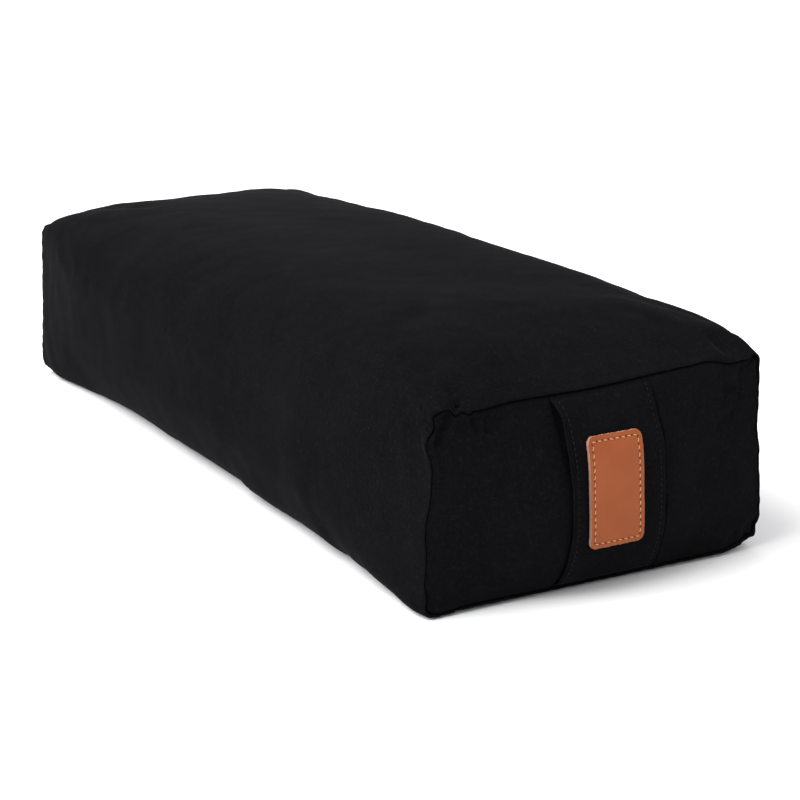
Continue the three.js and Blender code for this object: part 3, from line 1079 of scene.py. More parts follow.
@dataclass(frozen=True)
class SewingThread:
    """Spun polyester sewing thread, two plies twisted: a slight gloss and a slanting twist.

    The twist is far too fine to show, so it is drawn as broad stripes, each 2 pi / 10 of the stripe field, as
    bumps with painted shade in the grooves between the plies.
    """

    name: str
    colour: str
    # The painted shade in the grooves of the twist
    groove_shade: str
    specular: float = 0.3
    stripe: float = 11 * MM
    waver: float = 0.4
    relief: float = 0.05 * MM
    relief_strength: float = 0.5
    roughness: float = 0.55

    def build(self) -> bpy.types.Material:
        """Builds the material, its twist drawn as stripes of bumps and painted shade on the stitch's own
        places in metres.

        Returns:
            The material.
        """
        material, tree = new_material(self.name)
        place = add_node(tree, "UVMap", {"uv_map": CLOTH_UV})
        slanting = {"bands_direction": "DIAGONAL"}
        wave = add_node(tree, "TexWave", slanting, Vector=place, Scale=1 / self.stripe, Distortion=self.waver)
        twist = wave.outputs["Fac"]
        groove_shade, light = linear(self.groove_shade), linear(self.colour)
        # Painted shade: the stripes are darker where the twist's bump is low, in its grooves
        colour = add_node(tree, "Mix", COLOURS, Factor_Float=twist, A_Color=groove_shade, B_Color=light)
        bump = add_node(tree, "Bump", Strength=self.relief_strength, Distance=self.relief, Height=twist)
        sockets = {"Roughness": self.roughness, "Specular_IOR_Level": self.specular, "Normal": bump}
        shader = add_node(tree, "BsdfPrincipled", Base_Color=colour, **sockets)
        add_node(tree, "OutputMaterial", Surface=shader)
        return material


@dataclass(frozen=True)
class StudioPaper:
    """White seamless paper, matt, very slightly uneven."""

    name: str = "studio_paper"
    colour: str = "#F4F4F4"
    shade: str = "#F0F0F1"
    clouds_per_metre: float = 3.0
    roughness: float = 0.95

    def build(self) -> bpy.types.Material:
        """Builds the material, clouded a little from one colour to the other.

        Returns:
            The material.
        """
        material, tree = new_material(self.name)
        body = add_node(tree, "TexCoord").outputs["Object"]
        cloud = add_node(tree, "TexNoise", Vector=body, Scale=self.clouds_per_metre, Detail=2.0)
        light, shade = linear(self.colour), linear(self.shade)
        colour = add_node(tree, "Mix", COLOURS, Factor_Float=cloud, A_Color=light, B_Color=shade)
        shader = add_node(tree, "BsdfPrincipled", Base_Color=colour, Roughness=self.roughness)
        add_node(tree, "OutputMaterial", Surface=shader)
        return material


@dataclass(frozen=True)
class FilledCover:
    """The wrap panel with its filling, closed behind each end panel. Its edges roll over the end seams."""

    form: CoverForm
    settled: Settled | None
    across: int = 128
    up: int = 68
    along: int = 216
    crowding: float = 0.9
    corner_crowding: float = 0.5
    # The rolled edge: where it starts before the seam, how far it goes past that, and how deep it turns in
    roll_steps: int = 12
    roll_back: float = 1.9 * MM
    roll_long: float = 2.4 * MM
    roll_deep: float = 1.7 * MM
    # The closed end behind a panel: how far in it lies, its rings' shares of size, and its cloth's length
    recess: float = 7 * MM
    end_shares: tuple[float, ...] = (1, 0.98, 0.93, 0.8, 0.6, 0.35, 0.1)
    end_run: float = 0.1
    foot_round: float = 1.2 * MM
    lump_reach: float = 0.02
    lumps: tuple[Unevenness, ...] = (
        Unevenness(seed=2, shortest=0.050, longest=0.120, height=0.00025),
        Unevenness(seed=3, shortest=0.016, longest=0.040, height=0.0001),
    )

    def rings(self) -> tuple[Array, Array, Array, Array]:
        """Where the rings lie, from the middle of the plain end's recess to the middle of the other one's.

        They go along the cover, round its rolled edge, x = long sin(angle) and inset = deep / 2
        (1 - cos(angle)), then back to the recess and in towards its middle.

        Returns:
            X, distance from the seam, inset and share of size of each ring.
        """
        reach = self.form.half - self.roll_back
        tube = reach * spread(self.along, self.crowding)
        angle = np.linspace(0, math.pi, self.roll_steps + 1)[1:]
        roll = reach + self.roll_long * np.sin(angle)
        shares = np.array(self.end_shares)
        deep = np.full(len(shares), self.form.half - self.recess)
        x = np.concatenate([-deep[::-1], -roll[::-1], tube, roll, deep])
        turned = np.append(self.roll_deep / 2 * (1 - np.cos(angle)), np.full(len(shares), self.roll_deep))
        inset = np.concatenate([turned[::-1], np.zeros(len(tube)), turned])
        smaller = np.append(np.ones(len(roll)), shares)
        share = np.concatenate([smaller[::-1], np.ones(len(tube)), smaller])
        over = np.append(self.roll_back * (1 - np.sin(np.minimum(angle, math.pi / 2))), np.zeros(len(shares)))
        distance = np.concatenate([over[::-1], self.form.half - np.abs(tube), over])
        return x, distance, inset, share

    def shrunk(self, x: Array, outline: tuple[Array, Array], share: Array) -> Array:
        """Rings of points at x, each outline shrunk to a share of its size about an end panel's middle."""
        y, z, middle = *outline, self.form.panel_middle
        return np.stack(np.broadcast_arrays(x, y * share, middle + (z - middle) * share), axis=-1)

    def surface(self) -> Surface:
        """The sections' outlines, pushed by folds, puckers and lumps and then settled.

        At the end z becomes (z + sqrt(z^2 + round^2)) / 2, which turns the resting face's edge up softly.

        Returns:
            The closed surface.
        """
        form = self.form
        ring_a, ring_b = square_ring(self.across, self.up, self.corner_crowding)
        around = form.closed_around(ring_a, ring_b)
        a, b = ring_a[None, :-1], ring_b[None, :-1]
        x, distance, inset, share = (values[:, None] for values in self.rings())
        sign = np.sign(x)
        depth = x + sign * form.panel_bulge(a * share, b * share) * (share < 1)
        skin = self.shrunk(depth, form.section(distance, a, b, 0), share)
        points = self.shrunk(depth, form.section(distance, a, b, inset), share) + form.push(skin)
        height = sum(lump.at(skin) for lump in self.lumps) * smooth_rise(distance, 0, self.lump_reach)
        for end, puckers in PUCKERS.items():
            height = height + puckers.at(form, around[None, :-1], distance) * (sign == end.value)
        on_skin = smooth_rise(-inset, -self.roll_deep, -self.roll_deep / 2)
        points = points + grid_normals(points, True) * (height * on_skin)[..., None]
        if self.settled is not None:
            points = points + self.settled.on_wrap(x[:, 0], around[:-1]) * self.settled.loose(distance)
        points[..., 2] = (points[..., 2] + np.sqrt(points[..., 2] ** 2 + self.foot_round**2)) / 2
        run = run_along(np.hstack([x, inset + self.end_run * (1 - share)]))
        return tube_surface(points, np.stack(np.meshgrid(around, run - run.mean()), axis=-1))

    def build(self, material: bpy.types.Material) -> bpy.types.Object:
        """Builds the cover, which stands for its CAD solid.

        Args:
            material: Its finish.

        Returns:
            The cover.
        """
        cover = make_object("filled_cover_cloth", [self.surface()], material)
        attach(cover, "root")
        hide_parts("filled_cover")
        return cover


THREAD_THICK = 0.62 * MM
THREAD_SIDES = 8
STITCH_RINGS = (-0.97, -0.8, -0.5, -0.17, 0.17, 0.5, 0.8, 0.97)


def stitch_row(centre: Array, ahead: Array, above: Array, length: float) -> list[Surface]:
    """Stitches as short bowed threads with tapered ends, which dip into the cloth.

    A stitch's middle line is an arch, height = thick / 2 (1 - 2 s^2) at a share s of its half length, and its
    radius is thick / 2 times the fourth root of 1 - s^4.

    Args:
        centre: The middle of each stitch.
        ahead: The direction along each.
        above: The direction out of the cloth at each.
        length: The length of a stitch.

    Returns:
        A closed surface for each stitch.
    """
    ahead = ahead / np.linalg.norm(ahead, axis=1, keepdims=True)
    above = above / np.linalg.norm(above, axis=1, keepdims=True)
    aside = np.cross(above, ahead)
    s = np.array(STITCH_RINGS)[:, None]
    turn = np.linspace(0, 2 * math.pi, THREAD_SIDES + 1)[None, :-1]
    radius = THREAD_THICK / 2 * (1 - s**4) ** 0.25
    forward = np.broadcast_to(s * length / 2, (len(s), THREAD_SIDES))[..., None]
    sideways = (radius * np.cos(turn))[..., None]
    up = (THREAD_THICK / 2 * (1 - 2 * s**2) + radius * np.sin(turn))[..., None]
    round_it = np.linspace(0, math.pi * THREAD_THICK, THREAD_SIDES + 1)
    places = np.stack(np.meshgrid(round_it, s[:, 0] * length / 2), axis=-1)
    return [
        tube_surface(at + forward * front + sideways * side + up * out, places)
        for at, front, side, out in zip(centre, ahead, aside, above)
    ]


@dataclass(frozen=True)
class CarryingBand:
    """A folded strip over the band end, sewn into the seams above and below and top-stitched near its edges.

    A place along it is t, from -1 at its foot to 1 at its head, and y is a place across it.
    """

    form: CoverForm
    width: float = 68 * MM
    neck: float = 2 * MM
    thick: float = 2.2 * MM
    # How much thinner the seams press its ends, and from which t
    pressed: float = 0.45
    pressed_range: Pair = (0.9, 1)
    # How far its middle plane stands off the end panel, and how it bows out further
    stand_off: float = 2.0 * MM
    bow: float = 5.0 * MM
    bow_power: float = 4
    # It slants a little, off the middle, and its head follows the seam's folds
    slant: float = 5 * MM
    shift: float = -1 * MM
    lift_range: Pair = (0.65, 1)
    # Its front edge stands out more, with a bell added near its head (its middle and width in t), and puffs
    # at its head, also as a bell, over a range of -y
    free_power: float = 8
    tilt: float = 1.6 * MM
    tilt_more: float = 1.1
    tilt_at: Pair = (0.75, 0.25)
    puff: float = 3 * MM
    puff_at: Pair = (0.88, 0.12)
    puff_range: Pair = (10 * MM, 34 * MM)
    # The patch holds its middle flat
    flat: float = 2.0 * MM
    flat_reach: float = 0.62
    flat_range: Pair = (18 * MM, 33 * MM)
    # Its ends turn into the seams, past tuck_start, and the end panel goes in under it
    root_inset: float = 3.1 * MM
    root_gap: float = 0.3 * MM
    under: float = 2.5 * MM
    tuck: float = 5 * MM
    tuck_start: float = 0.97
    tuck_end: float = 1.05
    # Its top-stitching: in from the edge, the groove that it draws and the welt outside it
    stitch_in: float = 3.6 * MM
    stitch_pitch: float = 3.4 * MM
    stitch_share: float = 0.72
    stitch_sunk: float = 0.35 * MM
    groove: float = 0.45 * MM
    groove_wide: float = 0.9 * MM
    welt: float = 0.2 * MM
    welt_wide: float = 1.2 * MM
    welt_in: float = 1.6 * MM
    # The soft waves of its edges, read along two lines that lie well apart
    wave: Unevenness = Unevenness(seed=31, shortest=0.018, longest=0.05, height=0.00035)
    wave_in: float = 14 * MM
    wave_range: Pair = (0.8, 1)
    wave_apart: float = 0.2
    wave_run: float = 0.058
    rings: int = 150
    edge_steps: int = 10
    inner_steps: int = 12
    outer_steps: int = 96
    crowding: float = 0.35

    @property
    def half_height(self) -> float:
        """Half the height between the band's two roots."""
        return (self.form.height - self.form.seam_lift) / 2 - self.root_inset

    def middle(self, t: Array) -> tuple[Array, Array]:
        """X and Z of the band's middle plane.

        It follows the end panel at a small distance, bows out further by (1 - |t|^power), and turns into the
        seam past tuck_start, where its height comes to rest as its depth goes with the square.

        Args:
            t: The places along the band.

        Returns:
            X and Z of each place.
        """
        form = self.form
        size = np.abs(t)
        past = np.clip(size - self.tuck_start, 0, None)
        room = self.tuck_end - self.tuck_start
        up = size - past**2 / (2 * room)
        panel_half = self.half_height - self.thick / 2 - self.root_gap
        b = np.clip(up * self.half_height / panel_half, 0, 1)
        out = form.panel_bulge(np.zeros_like(b), b) - form.rim(np.zeros_like(b), b)
        bow = self.bow * (1 - np.minimum(size, 1) ** self.bow_power)
        x = form.half + out + self.stand_off + bow - self.tuck * (past / room) ** 2
        return x, form.panel_middle + np.sign(t) * up * self.half_height

    def run(self, t: Array) -> Array:
        """The distance along the band's middle plane from the first t to each."""
        return run_along(np.stack(self.middle(t), axis=1))

    def place(self, t: Array, y: Array, out: Array) -> Array:
        """A point of the band, out from its middle plane square to it.

        Args:
            t: The place along the band.
            y: The place across it, from its own middle line.
            out: The distance out.

        Returns:
            The point.
        """
        step = 1e-4
        x, z = self.middle(t)
        x_low, z_low = self.middle(t - step)
        x_high, z_high = self.middle(t + step)
        size = np.hypot(x_high - x_low, z_high - z_low)
        out_x, out_z = (z_high - z_low) / size, -(x_high - x_low) / size
        aside = self.shift + y - self.slant / 2 * np.clip(t, -1, 1)
        head = np.stack(np.broadcast_arrays(self.form.half, aside, self.form.height), axis=-1)
        lift = self.form.push(head)[..., 2] * smooth_rise(t, *self.lift_range)
        x = x + self.lean(t, y)
        return np.stack(np.broadcast_arrays(x + out * out_x, aside, z + lift + out * out_z), axis=-1)

    def lean(self, t: Array, y: Array) -> Array:
        """How much further out than its middle plane the band stands.

        The tilt goes with the cube of y, with a bell of t added to it. The puff is a bell of t, and the flat
        is (1 - (t / reach)^2)^2. Tilt and puff fade by 1 - |t|^power at the roots.

        Args:
            t: The place along the band.
            y: The place across it.

        Returns:
            The distance.
        """
        free = 1 - np.minimum(np.abs(t), 1) ** self.free_power
        (tilt_t, tilt_wide), (puff_t, puff_wide) = self.tilt_at, self.puff_at
        tilt = self.tilt * (1 + self.tilt_more * bell(t - tilt_t, tilt_wide))
        puff = self.puff * bell(t - puff_t, puff_wide) * smooth_rise(-y, *self.puff_range)
        flat = self.flat * np.clip(1 - (t / self.flat_reach) ** 2, 0, 1) ** 2
        flat = flat * (1 - smooth_rise(np.abs(y), *self.flat_range))
        return (puff - tilt * (y / (self.width / 2)) ** 3) * free - flat

    def half_width(self, t: Array) -> Array:
        """Half the band's width at t, a little less in the middle."""
        return (self.width - self.neck * (1 - np.clip(t, -1, 1) ** 2)) / 2

    def radius(self, t: Array) -> Array:
        """Half the strip's thickness at t. The seams press its ends thinner."""
        return self.thick / 2 * (1 - self.pressed * smooth_rise(np.abs(t), *self.pressed_range))

    def profile(self) -> tuple[Array, Array]:
        """The strip's section, from the middle of its inner face round +Y, its outer face and -Y.

        Returns:
            The place across as a share of the flat part, and the angle round the strip's edge, a right angle
            on the outer face and less than zero on the inner one.
        """
        right = math.pi / 2
        turn = np.linspace(-right, right, self.edge_steps + 1)[1:-1]
        inner = np.linspace(0, 1, self.inner_steps + 1)
        outer = spread(self.outer_steps, self.crowding)[::-1]
        edge, inside, outside = np.ones(len(turn)), np.full(len(inner), -right), np.full(len(outer), right)
        share = np.concatenate([inner, edge, outer, -edge, -inner[:0:-1]])
        return share, np.concatenate([inside, turn, outside, math.pi - turn, inside[1:]])

    def surface(self) -> Surface:
        """The strip, with a groove along each row of stitches and soft waves along its edges.

        Returns:
            The closed surface.
        """
        share, angle = self.profile()
        t = spread(self.rings, self.crowding)[:, None] * self.tuck_end
        radius, wide = self.radius(t), self.half_width(t)
        y = share * (wide - radius) + radius * np.cos(angle) * (np.abs(share) == 1)
        in_from_edge = wide - np.abs(y)
        groove = self.groove * bell(in_from_edge - self.stitch_in, self.groove_wide)
        welt = self.welt * bell(in_from_edge - self.welt_in, self.welt_wide)
        along_edges = np.broadcast_arrays(0 * t, np.sign(share) * self.wave_apart, t * self.wave_run)
        wave = self.wave.at(np.stack(along_edges, axis=-1)) * smooth_rise(-in_from_edge, -self.wave_in, 0)
        wave = wave * (1 - smooth_rise(np.abs(t), *self.wave_range))
        out = radius * np.sin(angle) + np.where(angle > 0, welt - groove, 0) + wave
        points = self.place(t, y + wave / 2, out)
        around = run_along(points[self.rings // 2])
        closed = np.append(around, around[-1] + MM)
        places = np.stack(np.meshgrid(closed, self.run(t[:, 0])), axis=-1)
        return tube_surface(points[::-1], places[::-1])

    def stitches(self) -> list[Surface]:
        """The two rows of top-stitching.

        Returns:
            A closed surface for each stitch.
        """
        fine = np.linspace(-self.tuck_start, self.tuck_start, CURVE_STEPS)
        run = self.run(fine)
        count = int(run[-1] / self.stitch_pitch)
        t = np.interp((np.arange(count) + 0.5) * run[-1] / count, run, fine)
        step = 0.01
        level = self.radius(t) - self.stitch_sunk
        made = []
        for side in (-1, 1):
            y = side * (self.half_width(t) - self.stitch_in)
            centre = self.place(t, y, level)
            ahead = self.place(t + step, y, level) - centre
            above = self.place(t, y, self.radius(t) + MM) - centre
            made += stitch_row(centre, ahead, above, self.stitch_share * self.stitch_pitch)
        return made

    def build(self, cloth: bpy.types.Material, thread: bpy.types.Material) -> list[bpy.types.Object]:
        """Builds the band, which stands for its CAD solid, and its top-stitching.

        Args:
            cloth: The band's finish.
            thread: The stitches' finish.

        Returns:
            The band and the stitches.
        """
        band = make_object("carrying_band_cloth", [self.surface()], cloth)
        rows = make_object("carrying_band_topstitching", self.stitches(), thread)
        for piece in (band, rows):
            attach(piece, "root")
        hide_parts("carrying_band")
        length = float(self.run(np.linspace(-self.tuck_end, self.tuck_end, CURVE_STEPS))[-1])
        return [band, rows]


@dataclass(frozen=True)
class EndPanel:
    """A rectangle of the cover's cloth, sewn in all round, bulging out, with its rim turned into the seam."""

    form: CoverForm
    settled: Settled | None
    end: End
    band: CarryingBand | None
    cloth: float = 1.5 * MM
    inset: float = 2.0 * MM
    # Ranges of the distance beside the band's middle line, in millimetres: where the panel goes in under the
    # band, where it swells behind and before it, and where that fades. The last one is a range of b.
    under_range: Pair = (33.5, 36.5)
    swell: float = 4.2 * MM
    swell_range: Pair = (34.3, 36.9)
    swell_front: float = 6.2 * MM
    front_range: Pair = (28, 33)
    fade_range: Pair = (40, 78)
    front_height: Pair = (0.1, 0.75)
    across: int = 180
    up: int = 96
    crowding: float = 0.6
    # More columns beside each edge of the band: how far they reach, in millimetres, and how many
    closer_reach: float = 8
    closer_count: int = 33
    pucker_share: float = 1.6
    lump_reach: float = 0.015
    lumps: tuple[Unevenness, ...] = (
        Unevenness(seed=7, shortest=0.030, longest=0.080, height=0.0003),
        Unevenness(seed=8, shortest=0.014, longest=0.034, height=0.00009),
    )

    def columns(self) -> Array:
        """The places of the grid's columns, from -1 to 1, with more of them beside the band's edges.

        Returns:
            The places, in order.
        """
        wide = spread(self.across, self.crowding)
        if self.band is None:
            return wide
        edges = self.band.shift + self.band.width / 2 * np.array([[-1], [1]])
        closer = edges + np.linspace(-self.closer_reach, self.closer_reach, self.closer_count) * MM
        return np.unique(np.concatenate([wide, closer.ravel() / (self.form.width / 2)]))

    def beside_band(self, a: Array, b: Array) -> tuple[Array, Array]:
        """How the panel lies about the band: it goes in under it, and swells out on both sides of it.

        Args:
            a: The place across the panel, from -1 to 1.
            b: The place up the panel, from -1 to 1.

        Returns:
            How much further inside the seam the panel's edge lies, and how much further out the panel stands.
        """
        if self.band is None:
            return np.zeros_like(a), np.zeros_like(a)
        beside = (a * self.form.width / 2 - self.band.shift + self.band.slant / 2 * b) / MM
        under = self.band.under * (1 - smooth_rise(np.abs(beside), *self.under_range))
        behind = self.swell * smooth_rise(beside, *self.swell_range)
        before = self.swell_front * smooth_rise(-beside, *self.front_range)
        before = before * (1 - smooth_rise(b, *self.front_height))
        fades = (1 - smooth_rise(np.abs(beside), *self.fade_range)) * (1 - b**4)
        return under, fades * (behind + before)

    def surface(self) -> Surface:
        """The panel's bulge, pushed by folds, puckers and lumps, settled, and given its thickness.

        Returns:
            The closed surface.
        """
        form, sign = self.form, self.end.value
        wide, tall = self.columns(), spread(self.up, self.crowding)
        a, b = np.meshgrid(wide + TINY, tall + TINY)
        under, swell = self.beside_band(a, b)
        y, z = form.panel(a, b, self.inset + under)
        skin_y, skin_z = form.panel(a, b, 0)
        out = form.half + form.panel_bulge(a, b) + swell
        skin = np.stack([sign * out, skin_y, skin_z], axis=-1)
        inward = np.minimum((1 - np.abs(a)) * form.width, (1 - np.abs(b)) * form.height) / 2
        lumps = sum(lump.at(skin) for lump in self.lumps) * smooth_rise(inward, 0, self.lump_reach)
        height = lumps + PUCKERS[self.end].at(form, form.around(a, b), inward) * self.pucker_share
        outer = np.stack([sign * (out - form.rim(a, b) + height), y, z], axis=-1) + form.push(skin)
        if self.settled is not None:
            outer = outer + self.settled.on_panel(self.end, wide, tall) * self.settled.loose(inward)
        inner = outer - np.array([sign * self.cloth, 0, 0])
        places = np.stack([y, z - form.panel_middle], axis=-1)
        return sheet_surface(outer, inner, places, flip=self.end is End.PLAIN)

    def build(self, material: bpy.types.Material) -> bpy.types.Object:
        """Builds the panel, which stands for its CAD solid.

        Args:
            material: Its finish.

        Returns:
            The panel.
        """
        node = "end_panel_band" if self.end is End.BAND else "end_panel_plain"
        panel = make_object(node + "_cloth", [self.surface()], material)
        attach(panel, "root")
        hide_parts(node)
        return panel


@dataclass(frozen=True)
class LeatherPatch:
    """A rectangle of leather with rounded corners, bent over the band's middle and sewn on all round."""

    band: CarryingBand
    width: float = 37.6 * MM
    length: float = 65.4 * MM
    thick: float = 2.4 * MM
    corner: float = 4.4 * MM
    shift: float = -2.8 * MM
    rise: float = 2.6 * MM
    gap: float = 0.35 * MM
    # An inset outline keeps its corners round up to a share of their radius, and then shrinks to no less
    # than a share of its size
    round_share: float = 0.75
    least_share: float = 0.01
    # Insets of the back's rings, heights of the cut wall's, insets of the edge's and how far they drop, and
    # insets of the face's, close together about the seam, all in millimetres
    back: tuple[float, ...] = (19, 15, 11, 7, 4, 2, 0.8, 0.2)
    wall: tuple[float, ...] = (0.2, 0.8, 1.4, 1.85)
    edge: tuple[float, ...] = (0.03, 0.13, 0.3, 0.5)
    drop: tuple[float, ...] = (0.37, 0.17, 0.04, 0)
    face: tuple[float, ...] = (
        *np.linspace(0.8, 1.85, 4),
        *np.linspace(2.2, 3.85, 12),
        *(4.2, 4.8, 5.5, 6.5, 8, 10, 12, 14, 16, 18, 19.4),
    )
    points: int = 480
    # The seam: its stitches, the groove that they draw, and their needle holes, a little outside it, which
    # are darkened with painted shade
    stitch_in: float = 3.1 * MM
    stitch_pitch: float = 4.1 * MM
    stitch_share: float = 0.6
    stitch_sunk: float = 0.28 * MM
    stitch_slant: float = 0.2
    groove: float = 0.30 * MM
    groove_wide: float = 0.7 * MM
    hole: float = 0.42 * MM
    hole_deep: float = 0.7 * MM
    hole_out: float = 0.3 * MM
    hole_shade: float = 1.3
    # The grain of the face, and the ragged cut, which is worth its height at a distance from the middle
    grain: Unevenness = Unevenness(seed=41, shortest=0.006, longest=0.02, height=0.00005)
    ragged: Unevenness = Unevenness(seed=43, shortest=0.0012, longest=0.004, height=0.00007)
    ragged_at: float = 20 * MM
    cut_reach: float = 0.2 * MM
    raw_range: Pair = (-0.12 * MM, -0.02 * MM)

    def outline(self) -> tuple[Array, Array]:
        """The rounded rectangle, evenly spaced: along each side the point moves, at a corner the way turns.

        Returns:
            An inner rectangle's point and a unit direction for each outline point. The outline inset by d is
            the inner point plus (corner - d) times the direction.
        """
        wide, tall = self.width / 2 - self.corner, self.length / 2 - self.corner
        arc = math.pi / 2 * self.corner
        key = np.cumsum([0, 2 * tall, arc, 2 * wide, arc, 2 * tall, arc, 2 * wide, arc])
        run = np.arange(self.points) / self.points * key[-1]
        y = np.interp(run, key, np.array([1, 1, 1, -1, -1, -1, -1, 1, 1]) * wide)
        z = np.interp(run, key, np.array([-1, 1, 1, 1, 1, -1, -1, -1, -1]) * tall)
        angle = np.interp(run, key, np.array([0, 0, 1, 1, 2, 2, 3, 3, 4]) * math.pi / 2)
        return np.stack([y, z], axis=-1), np.stack([np.cos(angle), np.sin(angle)], axis=-1)

    def inset_outline(self, inset: Array) -> Array:
        """The outline moved in. Past a share of the corner's radius it shrinks instead.

        Args:
            inset: How far it is moved in, one value for each ring.

        Returns:
            Rings by points by 2.
        """
        core, way = self.outline()
        inset = inset[:, None, None]
        last = self.round_share * self.corner
        share = np.clip(1 - (inset - last) / (self.width / 2 - last), self.least_share, 1)
        return (core + way * (self.corner - np.minimum(inset, last))) * share

    def place(self, flat: Array, out: Array) -> Array:
        """A point of the patch on the band.

        Args:
            flat: The place on the flat patch, across and up.
            out: The distance out from the back of the patch.

        Returns:
            The point.
        """
        lift = self.band.thick / 2 + self.gap
        t = (flat[..., 1] + self.rise) / self.band.half_height
        return self.band.place(t, self.shift + flat[..., 0], lift + out)

    def seam(self) -> tuple[Array, Array, int]:
        """The line of stitches.

        Returns:
            Its points, the first one repeated at the end, the distance along it of each, and its number of
            stitches.
        """
        line = self.inset_outline(np.array([self.stitch_in]))[0]
        line = np.vstack([line, line[:1]])
        run = run_along(line)
        return line, run, round(run[-1] / self.stitch_pitch)

    def on_seam(self, distance: Array) -> Array:
        """The flat point at a distance along the line of stitches."""
        line, run, _ = self.seam()
        return np.stack([np.interp(distance % run[-1], run, line[:, axis]) for axis in (0, 1)], axis=-1)

    def surface(self) -> Surface:
        """The patch as rings, from the middle of its back, out to the cut edge and in over its face.

        Returns:
            The closed surface, with its raw edge and the painted shade of its needle holes as values of its
            points.
        """
        back, wall, edge, face = (np.array(part) for part in (self.back, self.wall, self.edge, self.face))
        top = self.thick / MM
        inset = np.concatenate([back, 0 * wall, edge, face])[:, None] * MM
        height = np.concatenate([0 * back, wall, top - np.array(self.drop), top + 0 * face])[:, None] * MM
        on_face = (np.arange(len(inset)) >= len(back) + len(wall))[:, None]
        flat = self.inset_outline(inset[:, 0])
        _, run, count = self.seam()
        aside = (run[:-1] / run[-1] * count + 0.5) % 1 - 0.5
        away = np.hypot(aside * run[-1] / count, inset - self.stitch_in + self.hole_out)
        hole = bell(away, self.hole) * on_face
        groove = bell(inset - self.stitch_in, self.groove_wide) * on_face
        level = np.zeros_like(flat[..., :1])
        grain = self.grain.at(np.concatenate([flat, level], axis=-1)) * on_face
        ragged = self.ragged.at(np.concatenate([flat, level + height[..., None]], axis=-1))
        cut = (inset < self.cut_reach) & (height > 0)
        flat = flat * (1 + (ragged * cut)[..., None] / self.ragged_at)
        points = self.place(flat, height - self.groove * groove - self.hole_deep * hole + grain)
        places = np.concatenate([flat, flat[:, :1]], axis=1)
        raw = np.broadcast_to(smooth_rise(-inset, *self.raw_range), hole.shape)
        # The needle holes' mask carries painted shade into the leather's colour
        values = {"raw_edge": raw, "needle_hole": np.clip(hole * self.hole_shade, 0, 1)}
        return tube_surface(points, places, values)

    def stitches(self) -> list[Surface]:
        """One stitch between each pair of needle holes, turned a little off the line of stitches.

        Returns:
            A closed surface for each stitch.
        """
        _, run, count = self.seam()
        middle = (np.arange(count) + 0.5) * run[-1] / count
        level = np.full(count, self.thick - self.stitch_sunk)
        step = 0.4 * MM
        before, at, after = (self.on_seam(middle + shift) for shift in (-step, 0, step))
        centre = self.place(at, level)
        ahead = self.place(after, level) - self.place(before, level)
        above = self.place(at, level + MM) - centre
        aside = np.cross(ahead, above / np.linalg.norm(above, axis=1, keepdims=True))
        ahead = ahead + self.stitch_slant * aside
        return stitch_row(centre, ahead, above, self.stitch_share * self.stitch_pitch)

    def build(self, leather: bpy.types.Material, thread: bpy.types.Material) -> list[bpy.types.Object]:
        """Builds the patch, which stands for its CAD solid, and its stitches.

        Args:
            leather: The patch's finish.
            thread: The stitches' finish.

        Returns:
            The patch and the stitches.
        """
        patch = make_object("leather_patch_hide", [self.surface()], leather)
        rows = make_object("leather_patch_stitches", self.stitches(), thread)
        for piece in (patch, rows):
            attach(piece, "root")
        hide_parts("leather_patch")
        return [patch, rows]


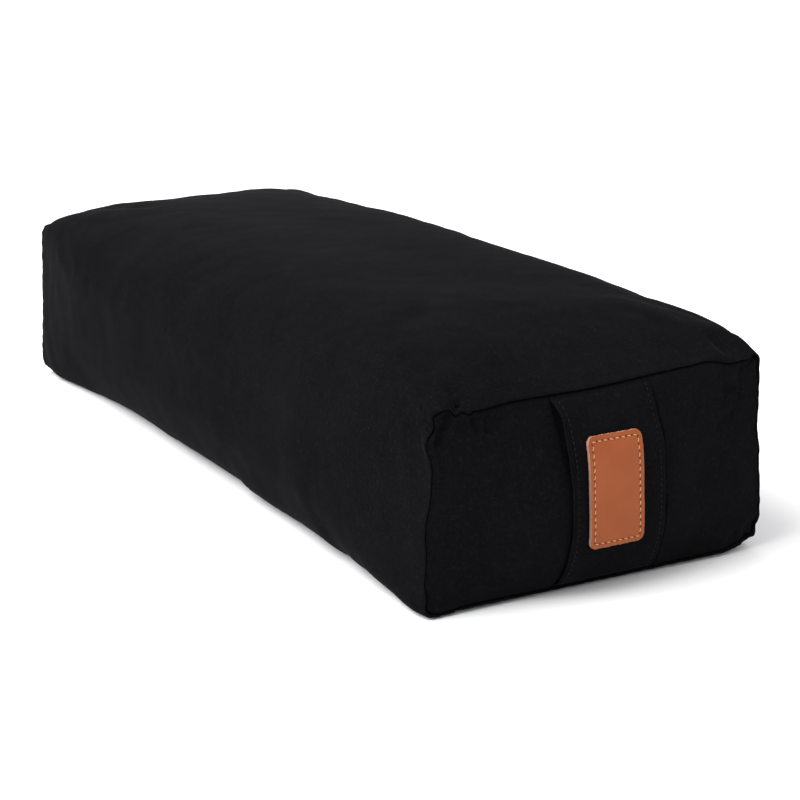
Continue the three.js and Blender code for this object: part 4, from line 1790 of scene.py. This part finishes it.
@dataclass(frozen=True)
class Studio:
    """A white paper floor, two soft lights, a pale surround, and the camera.

    The main light is broad and high on the left. The second one hangs past the far end, so the cloth there
    is the lightest. Angles are in degrees.
    """

    camera_place: Triple = (1.231, -0.6464, 0.4308)
    azimuth: float = 60.95
    elevation: float = 15.88
    roll: float = -0.36
    lens: float = 91.18
    sensor: float = 36.0
    shift: float = 0.0054
    sight: float = 100.0
    floor_size: float = 40.0
    main_way: Triple = (0.12, 0.9, -1.0)
    main_strength: float = 3.62
    main_spread: float = 50.0
    far_place: Triple = (-0.80, 0.40, 0.85)
    far_target: Triple = (-0.34, 0.07, 0.14)
    far_watts: float = 56.0
    far_cone: float = 32.0
    far_radius: float = 0.2
    surround: str = "#FBFBFC"
    surround_strength: float = 1.1

    def camera(self) -> None:
        """Sets up the camera. Its azimuth is where it stands, 0 at -Y and 90 at +X."""
        turn, lift, roll = (math.radians(v) for v in (self.azimuth, self.elevation, self.roll))
        back = Vector((math.sin(turn) * math.cos(lift), -math.cos(turn) * math.cos(lift), math.sin(lift)))
        right = Vector((0, 0, 1)).cross(back).normalized()
        up = back.cross(right)
        side = right * math.cos(roll) + up * math.sin(roll)
        head = up * math.cos(roll) - right * math.sin(roll)
        data = bpy.data.cameras.new("camera")
        data.lens = self.lens
        data.sensor_width = self.sensor
        data.shift_x = self.shift
        data.clip_end = self.sight
        camera = bpy.data.objects.new("camera", data)
        turned = Matrix((side, head, back)).transposed().to_4x4()
        camera.matrix_world = Matrix.Translation(self.camera_place) @ turned
        bpy.context.scene.collection.objects.link(camera)
        bpy.context.scene.camera = camera

    def floor(self) -> None:
        """Lays the floor, just under the resting face."""
        size = self.floor_size / 2
        mesh = bpy.data.meshes.new("studio_floor")
        corners = [(-size, -size, 0), (size, -size, 0), (size, size, 0), (-size, size, 0)]
        mesh.from_pydata(corners, [], [(0, 1, 2, 3)])
        mesh.materials.append(StudioPaper().build())
        floor = bpy.data.objects.new("studio_floor", mesh)
        bpy.context.scene.collection.objects.link(floor)

    def hang(self, data: bpy.types.Light, place: Triple, way: Vector) -> None:
        """Hangs a light in the scene.

        Args:
            data: The light.
            place: Where it hangs.
            way: Which way it shines.
        """
        light = bpy.data.objects.new(data.name, data)
        light.location = place
        light.rotation_euler = way.to_track_quat("-Z", "Y").to_euler()
        bpy.context.scene.collection.objects.link(light)

    def lights(self) -> None:
        """Sets up the broad light, the light over the far end, and the surround."""
        main_light = bpy.data.lights.new("main_light", "SUN")
        main_light.energy = self.main_strength
        main_light.angle = math.radians(self.main_spread)
        self.hang(main_light, (0.0, 0.0, 1.0), Vector(self.main_way))
        far = bpy.data.lights.new("far_light", "SPOT")
        far.energy = self.far_watts
        far.spot_size = math.radians(self.far_cone)
        far.spot_blend = 1.0
        far.shadow_soft_size = self.far_radius
        self.hang(far, self.far_place, Vector(self.far_target) - Vector(self.far_place))
        world = bpy.data.worlds.new("surround")
        world.use_nodes = True
        background = world.node_tree.nodes["Background"]
        background.inputs["Color"].default_value = linear(self.surround)
        background.inputs["Strength"].default_value = self.surround_strength
        bpy.context.scene.world = world
        bpy.context.scene.view_settings.view_transform = "Standard"

    def build(self) -> None:
        """Builds the whole studio."""
        self.camera()
        self.floor()
        self.lights()


def main() -> None:
    """Builds the studio and the bolster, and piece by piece."""
    logging.basicConfig(level=logging.INFO, format="%(name)s: %(message)s")
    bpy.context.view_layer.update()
    Studio().build()
    form = CoverForm()
    settled = Settling(form).run()
    wrap_cotton, panel_cotton, band_cotton = (
        BlackCotton(name).build() for name in ("wrap_cotton", "panel_cotton", "band_cotton")
    )
    # Each thread's second colour is the painted shade in the grooves of its twist
    black_thread = SewingThread("black_thread", colour="#1D1D1F", groove_shade="#0E0E10", specular=0.1).build()
    tan_thread = SewingThread("tan_thread", colour="#DDB487", groove_shade="#B98A5C").build()
    band = CarryingBand(form)
    pieces = [FilledCover(form, settled).build(wrap_cotton)]
    pieces.append(EndPanel(form, settled, End.BAND, band).build(panel_cotton))
    pieces.append(EndPanel(form, settled, End.PLAIN, None).build(panel_cotton))
    pieces += band.build(band_cotton, black_thread)
    pieces += LeatherPatch(band).build(TanLeather().build(), tan_thread)
    for piece in pieces:
        log.info("%s: %d faces", piece.name, len(piece.data.polygons))


if __name__ == "__main__":
    main()
